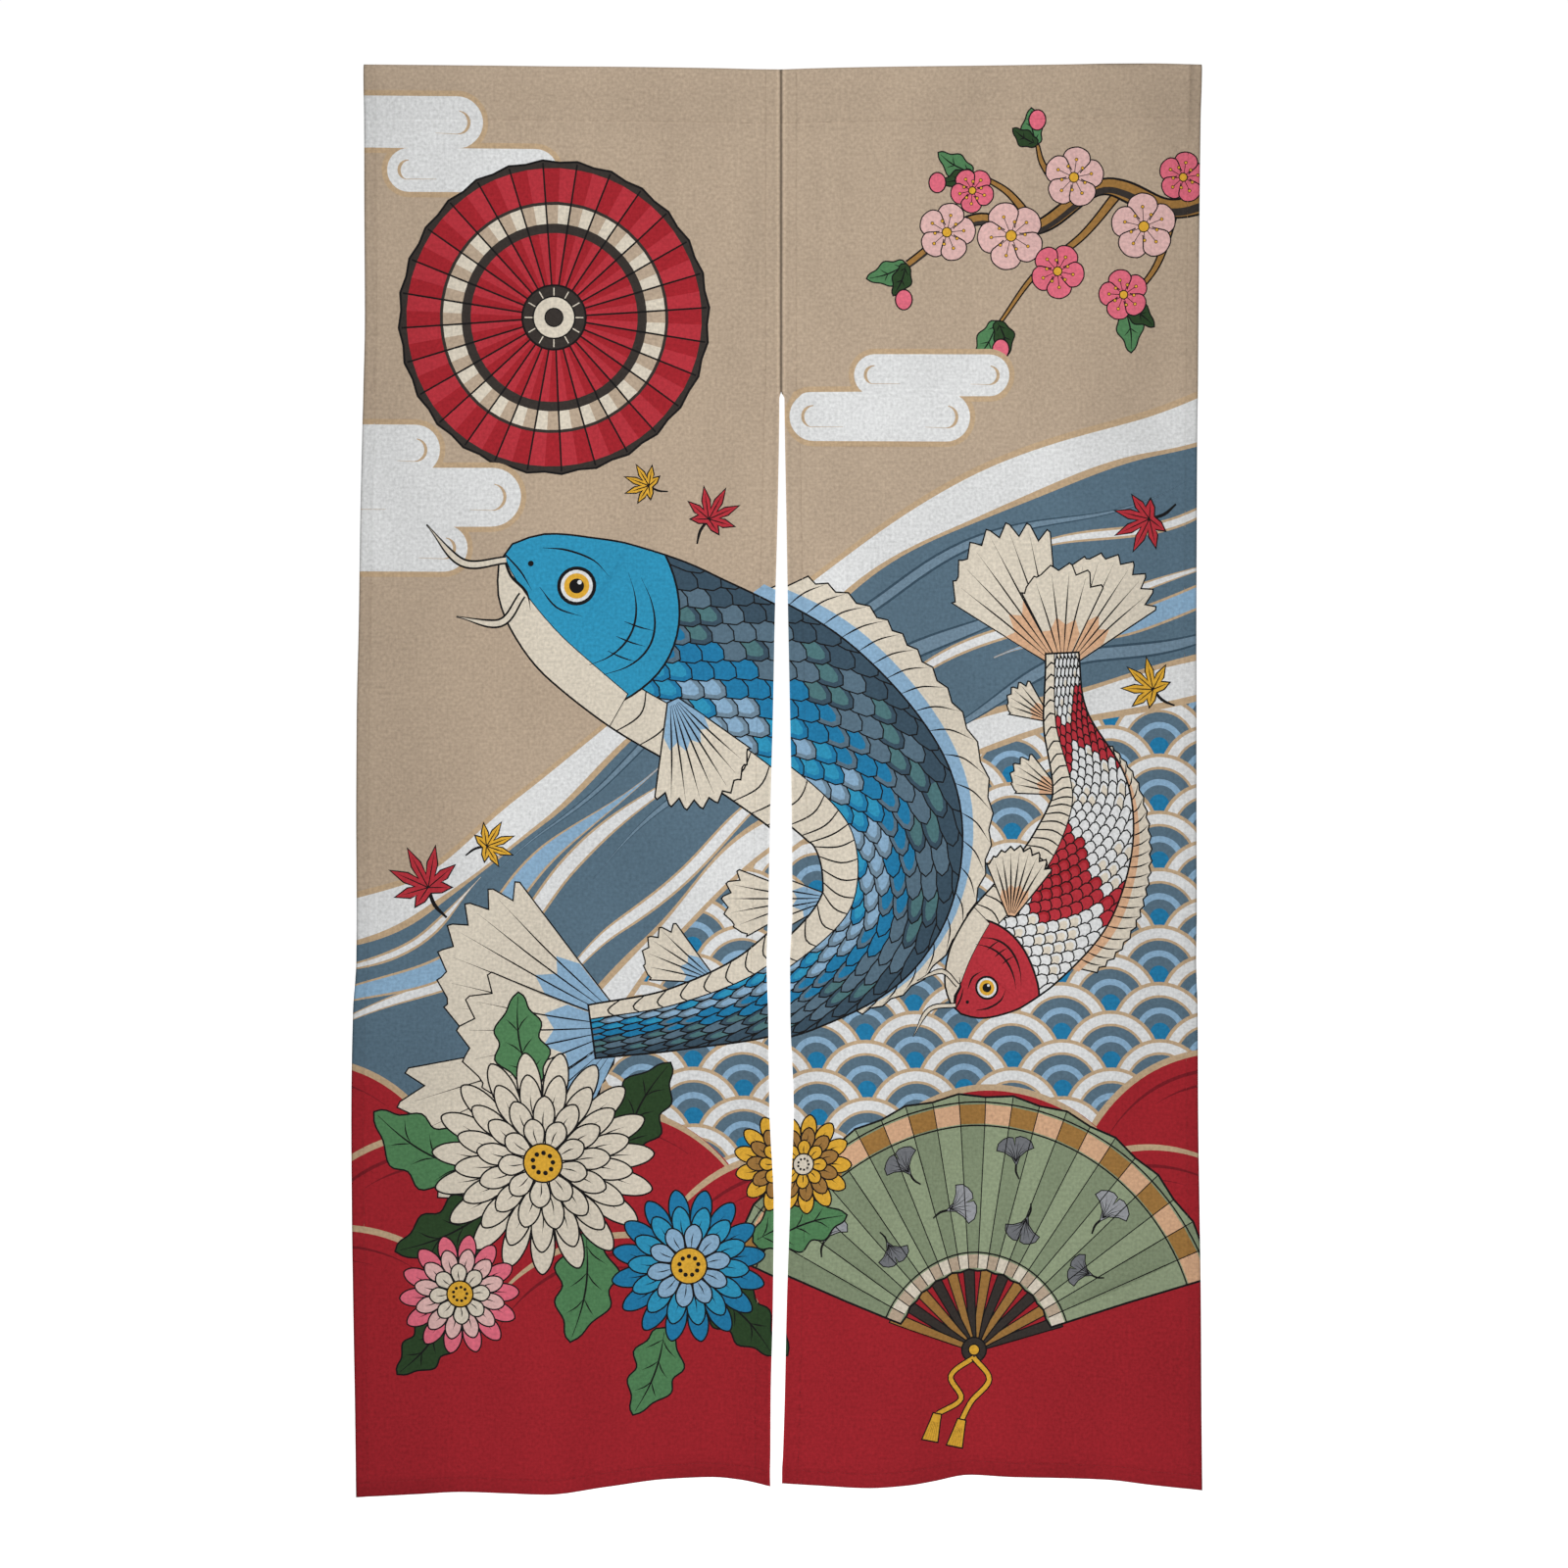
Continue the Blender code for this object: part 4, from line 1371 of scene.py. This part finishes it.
def added(name, data):
    """A new object in the scene."""
    made = bpy.data.objects.new(name, data)
    bpy.context.scene.collection.objects.link(made)
    return made


def open_edges(triangles):
    """The directed edges that only one triangle has."""
    ends = np.concatenate([triangles[:, [0, 1]], triangles[:, [1, 2]], triangles[:, [2, 0]]])
    owners = np.tile(np.arange(len(triangles)), 3)
    keys = np.sort(ends, axis=1)
    _, index, counts = np.unique(keys, axis=0, return_inverse=True, return_counts=True)
    alone = counts[index.reshape(-1)] == 1
    return ends[alone], owners[alone]


def cloth_piece(used, panel, cloth, material):
    flat, triangles, inks = flat_mesh(used, cloth)
    x, run = flat[:, 0], flat[:, 1]
    outer = cloth.surface(x, run)
    normals = cloth.normal(x, run)
    thickness = cloth.thickness(x, run)
    inner = outer - normals * thickness[:, None]
    rim, rim_owner = open_edges(triangles)
    count = len(flat)
    points = np.vstack([outer, inner])
    back = triangles[:, ::-1] + count
    sides = np.concatenate(
        [
            np.stack([rim[:, 1], rim[:, 0], rim[:, 0] + count], axis=-1),
            np.stack([rim[:, 1], rim[:, 0] + count, rim[:, 1] + count], axis=-1),
        ]
    )
    faces = np.concatenate([triangles, back, sides])
    face_inks = np.concatenate([inks, inks, inks[rim_owner], inks[rim_owner]])

    mesh = bpy.data.meshes.new(panel.name)
    mesh.vertices.add(len(points))
    mesh.vertices.foreach_set("co", points.astype(np.float32).reshape(-1))
    mesh.loops.add(faces.size)
    mesh.loops.foreach_set("vertex_index", faces.astype(np.int32).reshape(-1))
    mesh.polygons.add(len(faces))
    mesh.polygons.foreach_set("loop_start", np.arange(0, faces.size, 3, dtype=np.int32))
    mesh.update(calc_edges=True)
    mesh.shade_smooth()

    dye = mesh.attributes.new("dye", "FLOAT_COLOR", "FACE")
    dye.data.foreach_set("color", ink_table()[face_inks].astype(np.float32).reshape(-1))
    middle_x, middle_run = x[triangles].mean(axis=1), run[triangles].mean(axis=1)
    hem = (cloth.in_hem(middle_x) < SIDE_HEM) | (cloth.foot_run(middle_x) - middle_run < FOOT_HEM)
    hem |= middle_run < FLAP_HEM - FLAP_RUN
    through = np.where(hem, HEM_SHOW_THROUGH, 1.0)
    unprinted = np.concatenate([np.zeros(len(triangles)), through, np.full(len(sides), RIM_SHOW_THROUGH)])
    bare = mesh.attributes.new("unprinted", "FLOAT", "FACE")
    bare.data.foreach_set("value", unprinted.astype(np.float32))
    # The painted shade of each point, painted highlight below 0, the same at both faces.
    shade = mesh.attributes.new("shade", "FLOAT", "POINT")
    shade.data.foreach_set("value", np.tile(cloth.shade(x, run), 2).astype(np.float32))
    uv = mesh.uv_layers.new(name="weave")
    place = np.vstack([flat, flat])[faces.reshape(-1)] * (1, -1)
    uv.data.foreach_set("uv", place.astype(np.float32).reshape(-1))

    loop_normals = np.vstack([normals, -normals])[faces.reshape(-1)]
    first = 2 * len(triangles)
    corners = points[faces[first:]]
    rim_normals = np.cross(corners[:, 1] - corners[:, 0], corners[:, 2] - corners[:, 0])
    rim_normals /= np.maximum(np.linalg.norm(rim_normals, axis=1, keepdims=True), 1e-12)
    loop_normals[first * 3 :] = np.repeat(rim_normals, 3, axis=0)
    mesh.normals_split_custom_set(loop_normals.astype(np.float32))
    mesh.materials.append(material)
    return added(panel.name, mesh)


# Nodes


def wired(tree, kind, inputs=(), **settings):
    """A new node. Each input is given a value, or another node's output to read."""
    made = tree.nodes.new(kind)
    for name, value in settings.items():
        setattr(made, name, value)
    for key, value in dict(inputs).items():
        if isinstance(value, bpy.types.NodeSocket):
            tree.links.new(value, made.inputs[key])
        else:
            made.inputs[key].default_value = value
    return made


def maths(tree, operation, *values):
    return wired(tree, "ShaderNodeMath", enumerate(values), operation=operation).outputs[0]


def scaled(tree, vector, factor):
    return wired(tree, "ShaderNodeVectorMath", {0: vector, "Scale": factor}, operation="SCALE").outputs[0]


def read(tree, attribute, output="Fac"):
    return wired(tree, "ShaderNodeAttribute", attribute_name=attribute).outputs[output]


def bumped(tree, shader, height, strength, distance):
    inputs = {"Height": height, "Strength": strength, "Distance": distance}
    tree.links.new(wired(tree, "ShaderNodeBump", inputs).outputs[0], shader.inputs["Normal"])


def named_sockets(tree, inputs, outputs):
    """Named inputs, with their defaults, and outputs. Returns each input's identifier."""
    identifiers = {}
    for name, kind, default in inputs:
        socket = tree.interface.new_socket(name=name, in_out="INPUT", socket_type="NodeSocket" + kind)
        identifiers[name] = socket.identifier
        if default is not None:
            socket.default_value = default
    for name, kind in outputs:
        tree.interface.new_socket(name=name, in_out="OUTPUT", socket_type="NodeSocket" + kind)
    return identifiers


def woven_cloth_group():
    """A plain weave with uneven threads and painted shade in the gaps between them, from a place on the cloth
    in metres.
    """
    tree = bpy.data.node_groups.new("woven_cloth", "ShaderNodeTree")
    inputs = (
        ("Weave", "Vector", None),
        ("Thread Pitch", "Float", 0.0010),
        ("Gap Shade", "Float", 0.16),
        ("Slub", "Float", 0.17),
        ("Mottling", "Float", 0.74),
    )
    named_sockets(tree, inputs, (("Tint", "Float"), ("Height", "Float"), ("Roughness", "Float")))
    given = tree.nodes.new("NodeGroupInput").outputs
    place = given["Weave"]
    turns = scaled(tree, place, maths(tree, "DIVIDE", math.pi, given["Thread Pitch"]))
    parts = wired(tree, "ShaderNodeSeparateXYZ", {0: turns})
    warp, weft = maths(tree, "SINE", parts.outputs[0]), maths(tree, "SINE", parts.outputs[1])
    over = maths(tree, "MULTIPLY_ADD", maths(tree, "MULTIPLY", warp, weft), 0.5, 0.5)
    warp_top = maths(tree, "MULTIPLY", maths(tree, "ABSOLUTE", warp), over)
    weft_share = maths(tree, "SUBTRACT", 1.0, over)
    weft_top = maths(tree, "MULTIPLY", maths(tree, "ABSOLUTE", weft), weft_share)
    height = maths(tree, "ADD", warp_top, weft_top)

    def noise(scale, stretch, detail=2.0):
        spread = wired(tree, "ShaderNodeVectorMath", {0: place, 1: stretch}, operation="MULTIPLY")
        inputs = {"Vector": spread.outputs[0], "Scale": scale, "Detail": detail}
        made = wired(tree, "ShaderNodeTexNoise", inputs)
        return maths(tree, "SUBTRACT", made.outputs[0], 0.5)

    slubs = maths(tree, "ADD", noise(1.0, (620.0, 60.0, 1.0)), noise(1.0, (52.0, 540.0, 1.0)))
    broad = maths(tree, "MULTIPLY", noise(12.0, (1.0, 0.6, 1.0), 3.0), 0.35)
    spots = maths(tree, "ADD", noise(310.0, (1.0, 1.0, 1.0), 4.0), broad)
    tint = maths(tree, "MULTIPLY_ADD", slubs, given["Slub"], 1.0)
    tint = maths(tree, "MULTIPLY_ADD", spots, given["Mottling"], tint)
    # Painted shade in the gaps between threads, where the weave is low.
    gaps = maths(tree, "SUBTRACT", 0.55, height)
    tint = maths(tree, "SUBTRACT", tint, maths(tree, "MULTIPLY", gaps, given["Gap Shade"]))
    made = tree.nodes.new("NodeGroupOutput").inputs
    tree.links.new(tint, made["Tint"])
    tree.links.new(maths(tree, "MULTIPLY_ADD", slubs, 0.8, height), made["Height"])
    tree.links.new(maths(tree, "MULTIPLY_ADD", spots, 0.16, 0.88), made["Roughness"])
    return tree


MIX_FIRST, MIX_SECOND, MIXED = 6, 7, 2  # the sockets of a Mix node that carry colours


def finished(name):
    """An empty node material and its Principled shader."""
    material = bpy.data.materials.new(name)
    material.use_nodes = True
    return material, material.node_tree, material.node_tree.nodes["Principled BSDF"]


def printed_cloth(weave_group):
    """Dyed on the face, far paler where the dye has only come through, with painted shade along the sewn
    folds, seam and edges and painted highlights beside them.
    """
    material, tree, shader = finished("printed_cloth")
    place = wired(tree, "ShaderNodeUVMap", uv_map="weave").outputs[0]
    weave = wired(tree, "ShaderNodeGroup", node_tree=weave_group)
    tree.links.new(place, weave.inputs["Weave"])
    mixed = wired(tree, "ShaderNodeMix", data_type="RGBA")
    through = maths(tree, "MULTIPLY", read(tree, "unprinted"), BACK_PALENESS)
    tree.links.new(through, mixed.inputs["Factor"])
    tree.links.new(read(tree, "dye", "Color"), mixed.inputs[MIX_FIRST])
    mixed.inputs[MIX_SECOND].default_value = linear(BARE_CLOTH) + [1.0]
    colour = scaled(tree, mixed.outputs[MIXED], weave.outputs["Tint"])
    # Darkened by the painted shade, and lightened where it is painted highlight.
    colour = scaled(tree, colour, maths(tree, "SUBTRACT", 1.0, read(tree, "shade")))
    tree.links.new(colour, shader.inputs["Base Color"])
    tree.links.new(weave.outputs["Roughness"], shader.inputs["Roughness"])
    bumped(tree, shader, weave.outputs["Height"], 0.35, 0.00012)
    shader.inputs["Specular IOR Level"].default_value = 0.08
    return material


def sewing_thread(name, colour=None):
    """Twisted thread, with plies that show as slanting bands and a little uneven colour.

    It has a colour of its own, or the dye of the cloth it was printed with.
    """
    material, tree, shader = finished(name)
    place = wired(tree, "ShaderNodeTexCoord").outputs["Object"]
    inputs = {"Vector": place, "Scale": 900.0, "Distortion": 1.5}
    plies = wired(tree, "ShaderNodeTexWave", inputs, bands_direction="DIAGONAL")
    fuzz = wired(tree, "ShaderNodeTexNoise", {"Vector": place, "Scale": 240.0, "Detail": 2.0})
    tint = maths(tree, "MULTIPLY_ADD", plies.outputs[1], 0.25, 0.80)
    tint = maths(tree, "MULTIPLY_ADD", fuzz.outputs[0], 0.20, tint)
    if colour:
        base = wired(tree, "ShaderNodeRGB").outputs[0]
        base.node.outputs[0].default_value = linear(colour) + [1.0]
    else:
        inputs = {0: read(tree, "dye", "Color"), 1: THREAD_TINT}
        base = wired(tree, "ShaderNodeVectorMath", inputs, operation="MULTIPLY").outputs[0]
    tree.links.new(scaled(tree, base, tint), shader.inputs["Base Color"])
    tree.links.new(maths(tree, "MULTIPLY_ADD", fuzz.outputs[0], 0.2, 0.62), shader.inputs["Roughness"])
    bumped(tree, shader, plies.outputs[1], 0.5, 0.00008)
    shader.inputs["Specular IOR Level"].default_value = 0.25
    return material


# Sewing


def covered(tree, geometry, material):
    """Ends a tree of nodes with real geometry in one material."""
    real = wired(tree, "GeometryNodeRealizeInstances", {0: geometry})
    made = wired(tree, "GeometryNodeSetMaterial", {"Geometry": real.outputs[0], "Material": material})
    tree.links.new(made.outputs[0], tree.nodes.new("NodeGroupOutput").inputs[0])


def sewn_line_tree():
    """Stitches along the paths of a mesh, flat on the cloth that they hold."""
    tree = bpy.data.node_groups.new("sewn_line", "GeometryNodeTree")
    inputs = (
        ("Geometry", "Geometry", None),
        ("Stitch Pitch", "Float", 0.0036),
        ("Stitch Length", "Float", 0.0031),
        ("Thread Thickness", "Float", 0.0006),
        ("Slant", "Float", 0.0),
        ("Unevenness", "Float", 0.12),
        ("Seed", "Int", 4),
        ("Thread", "Material", None),
    )
    identifiers = named_sockets(tree, inputs, (("Geometry", "Geometry"),))
    given = tree.nodes.new("NodeGroupInput").outputs
    curve = wired(tree, "GeometryNodeMeshToCurve", {"Mesh": given["Geometry"]})
    inputs = {"Curve": curve.outputs[0], "Length": given["Stitch Pitch"]}
    spaced = wired(tree, "GeometryNodeCurveToPoints", inputs, mode="LENGTH")
    outward = wired(tree, "GeometryNodeInputNamedAttribute", {"Name": "outward"}, data_type="FLOAT_VECTOR")
    along = wired(tree, "FunctionNodeAlignRotationToVector", {"Vector": spaced.outputs["Tangent"]}, axis="Z")
    inputs = {"Rotation": along.outputs[0], "Vector": outward.outputs[0]}
    flat = wired(tree, "FunctionNodeAlignRotationToVector", inputs, axis="X", pivot_axis="Z")
    index = tree.nodes.new("GeometryNodeInputIndex").outputs[0]
    parity = maths(tree, "MODULO", index, 2.0)
    way = maths(tree, "MULTIPLY_ADD", parity, -2.0, 1.0)
    inputs = {"Min": -1.0, "Max": 1.0, "ID": index, "Seed": given["Seed"]}
    uneven = wired(tree, "FunctionNodeRandomValue", inputs, data_type="FLOAT").outputs["Value"]
    wobble = maths(tree, "MULTIPLY", uneven, given["Unevenness"])
    slant = maths(tree, "MULTIPLY_ADD", given["Slant"], way, maths(tree, "MULTIPLY", wobble, 0.6))
    turn = wired(tree, "FunctionNodeAxisAngleToRotation", {"Axis": (1.0, 0.0, 0.0), "Angle": slant})
    inputs = {0: flat.outputs[0], 1: turn.outputs[0]}
    rotation = wired(tree, "FunctionNodeRotateRotation", inputs, rotation_space="LOCAL")
    half_thick = maths(tree, "MULTIPLY", given["Thread Thickness"], 0.5)
    half_long = maths(tree, "MULTIPLY", given["Stitch Length"], maths(tree, "MULTIPLY_ADD", wobble, 0.5, 0.5))
    size = wired(tree, "ShaderNodeCombineXYZ", {0: half_thick, 1: half_thick, 2: half_long})
    grain = wired(tree, "GeometryNodeMeshUVSphere", {"Segments": 6, "Rings": 4, "Radius": 1.0})
    inputs = {
        "Points": spaced.outputs["Points"],
        "Instance": grain.outputs["Mesh"],
        "Rotation": rotation.outputs[0],
        "Scale": size.outputs[0],
    }
    stitches = wired(tree, "GeometryNodeInstanceOnPoints", inputs)
    covered(tree, stitches.outputs[0], given["Thread"])
    return tree, identifiers


def seam_cord_tree():
    """A round cord along the paths of a mesh: the edges' thread, drawn tight between two cloths."""
    tree = bpy.data.node_groups.new("seam_cord", "GeometryNodeTree")
    inputs = (
        ("Geometry", "Geometry", None),
        ("Cord Thickness", "Float", 0.001),
        ("Thread", "Material", None),
    )
    identifiers = named_sockets(tree, inputs, (("Geometry", "Geometry"),))
    given = tree.nodes.new("NodeGroupInput").outputs
    curve = wired(tree, "GeometryNodeMeshToCurve", {"Mesh": given["Geometry"]})
    inputs = {"Curve": curve.outputs[0], "Length": CORD_PITCH}
    even = wired(tree, "GeometryNodeResampleCurve", inputs, mode="LENGTH")
    radius = maths(tree, "MULTIPLY", given["Cord Thickness"], 0.5)
    ring = wired(tree, "GeometryNodeCurvePrimitiveCircle", {"Resolution": 7, "Radius": radius})
    inputs = {"Curve": even.outputs[0], "Profile Curve": ring.outputs[0], "Fill Caps": True}
    tube = wired(tree, "GeometryNodeCurveToMesh", inputs)
    covered(tree, tube.outputs[0], given["Thread"])
    return tree, identifiers


def made_of_nodes(name, paths, group, **values):
    """The plain mesh that a tree of nodes makes along these paths."""
    tree, identifiers = group
    mesh = bpy.data.meshes.new(name + "_path")
    edges, start = [], 0
    for path in paths:
        edges += [(start + k, start + k + 1) for k in range(len(path.points) - 1)]
        start += len(path.points)
    mesh.from_pydata(np.vstack([path.points for path in paths]).tolist(), edges, [])
    outward = mesh.attributes.new("outward", "FLOAT_VECTOR", "POINT")
    ways = np.vstack([path.outward for path in paths]).astype(np.float32)
    outward.data.foreach_set("vector", ways.reshape(-1))
    dye = mesh.attributes.new("dye", "FLOAT_COLOR", "POINT")
    dyes = np.vstack([path.dye for path in paths]).astype(np.float32)
    dye.data.foreach_set("color", dyes.reshape(-1))
    obj = added(name, mesh)
    modifier = obj.modifiers.new("sewing", "NODES")
    modifier.node_group = tree
    for key, value in values.items():
        modifier[identifiers[key.replace("_", " ").title()]] = value
    graph = bpy.context.evaluated_depsgraph_get()
    made = bpy.data.meshes.new_from_object(obj.evaluated_get(graph), depsgraph=graph)
    obj.modifiers.clear()
    obj.data = made
    made.shade_smooth()
    return obj


def on_cloth(cloth, used, x, run, lift, back=False):
    """A path just clear of one face of the cloth, with the way that face looks and the dye there."""
    x, run = np.broadcast_arrays(np.asarray(x, float), np.asarray(run, float))
    normals = cloth.normal(x, run)
    dye = ink_table()[inks_at(np.stack([x, -run], axis=-1) / MM, used)]
    if not back:
        return Path(cloth.surface(x, run) + normals * lift, normals, dye)
    away = cloth.thickness(x, run)[:, None] + lift
    bare = np.array(linear(BARE_CLOTH) + [1.0])
    return Path(cloth.surface(x, run) - normals * away, -normals, dye + (bare - dye) * BACK_PALENESS)


def hem_paths(cloth, used):
    """Every line of running stitches on one cloth, as it shows on each face."""
    lines = []
    for side in cloth.stitch_sides():
        foot = float(cloth.foot_run(side)) - STITCH_INSET
        lines.append((side, np.arange(STITCH_INSET - FLAP_RUN, foot, PATH_PITCH), False))
        lines.append((side, np.arange(STITCH_INSET + FLAP_RUN, foot, PATH_PITCH), True))
    xs = np.arange(cloth.low + STITCH_INSET, cloth.high - STITCH_INSET, PATH_PITCH)
    foot = cloth.foot_run(xs) - FOOT_STITCH
    lines += [(xs, foot, False), (xs, foot, True)]
    lines += [(xs, STITCH_RUN, False), (xs, -STITCH_RUN, False)]
    return [on_cloth(cloth, used, x, run, STITCH_LIFT, back) for x, run, back in lines]


def seam_path(cloth, used, sunk, start, end, back=False):
    path = on_cloth(cloth, used, 0.0, np.arange(start, end, PATH_PITCH), -sunk, back)
    path.points[:, 0] = 0.0
    return path


# The room


def studio():
    """A pale floor below the curtain, soft light from all round and two large soft lamps in front."""
    mesh = bpy.data.meshes.new("floor")
    corners = [(-FLOOR_HALF, -FLOOR_HALF), (FLOOR_HALF, -FLOOR_HALF), (FLOOR_HALF, FLOOR_HALF)]
    corners.append((-FLOOR_HALF, FLOOR_HALF))
    mesh.from_pydata([(x, y, FLOOR_HEIGHT) for x, y in corners], [], [(0, 1, 2, 3)])
    material, tree, shader = finished("pale_floor")
    shader.inputs["Base Color"].default_value = (FLOOR_SHADE, FLOOR_SHADE, FLOOR_SHADE, 1.0)
    shader.inputs["Roughness"].default_value = 0.9
    shader.inputs["Emission Color"].default_value = (1.0, 1.0, 1.0, 1.0)
    seen = wired(tree, "ShaderNodeLightPath").outputs["Is Camera Ray"]
    tree.links.new(maths(tree, "MULTIPLY", seen, FLOOR_GLOW), shader.inputs["Emission Strength"])
    mesh.materials.append(material)
    added("floor", mesh)

    world = bpy.data.worlds.new("studio")
    world.use_nodes = True
    bpy.context.scene.world = world
    tree = world.node_tree
    seen = wired(tree, "ShaderNodeLightPath").outputs["Is Camera Ray"]
    strength = maths(tree, "MULTIPLY_ADD", seen, BACKDROP_GLOW - ROOM_LIGHT, ROOM_LIGHT)
    background = tree.nodes["Background"]
    background.inputs["Color"].default_value = (1.0, 1.0, 1.0, 1.0)
    tree.links.new(strength, background.inputs["Strength"])
    for name, place, aim, power in LAMPS:
        data = bpy.data.lights.new(name, "AREA")
        data.shape = "SQUARE"
        data.size = LAMP_SIZE
        data.spread = LAMP_SPREAD
        data.energy = power
        lamp = added(name, data)
        lamp.location = place
        lamp.rotation_mode = "QUATERNION"
        lamp.rotation_quaternion = (Vector(aim) - Vector(place)).to_track_quat("-Z", "Y")

    data = bpy.data.cameras.new("camera")
    data.lens, data.sensor_width = CAMERA_LENS, CAMERA_SENSOR
    camera = added("camera", data)
    camera.location = CAMERA_PLACE
    camera.rotation_euler = (math.pi / 2, 0.0, 0.0)
    bpy.context.scene.camera = camera
    bpy.context.scene.view_settings.view_transform = "Standard"


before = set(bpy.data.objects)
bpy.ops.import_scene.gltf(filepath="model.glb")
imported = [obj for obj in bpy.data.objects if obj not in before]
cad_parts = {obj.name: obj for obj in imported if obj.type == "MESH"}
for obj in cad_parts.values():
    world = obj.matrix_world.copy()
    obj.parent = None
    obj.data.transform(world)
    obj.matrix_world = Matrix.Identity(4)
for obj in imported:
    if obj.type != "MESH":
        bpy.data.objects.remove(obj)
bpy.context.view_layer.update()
studio()
design = drawn_design()
cloth_material = printed_cloth(woven_cloth_group())
hem_thread = sewing_thread("hem_thread")
# The seam cord's dark thread, which also stands in for the shadow in the seam's gap.
seam_thread_and_shadow = sewing_thread("seam_thread_and_shadow", SEAM_THREAD_AND_SHADOW)
sewn_line, seam_cord = sewn_line_tree(), seam_cord_tree()
for panel in PANELS:
    cloth = Cloth(panel)
    used = in_view(design, *print_span(cloth))
    piece = cloth_piece(used, panel, cloth, cloth_material)
    stitches = panel.node.replace("panel", "hem_stitches")
    sewing = [made_of_nodes(stitches, hem_paths(cloth, used), sewn_line, thread=hem_thread)]
    if panel.low == 0.0:
        path = seam_path(cloth, used, CORD_SUNK, -FLAP_RUN, SLIT_RUN)
        sewing.append(made_of_nodes("seam_cord", [path], seam_cord, thread=seam_thread_and_shadow))
        path = seam_path(cloth, used, 0.0, FLAP_RUN + STITCH_INSET, SLIT_RUN - OVERCAST_END, back=True)
        sewing.append(made_of_nodes("seam_overcasting", [path], sewn_line, thread=hem_thread, **OVERCAST))
    for made in [piece] + sewing:
        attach(made, "root")
    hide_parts(panel.node)
    length = float(np.mean(cloth.foot_run(np.linspace(panel.low, panel.high, 40)))) + POCKET_FLAP + FOLD_RUN
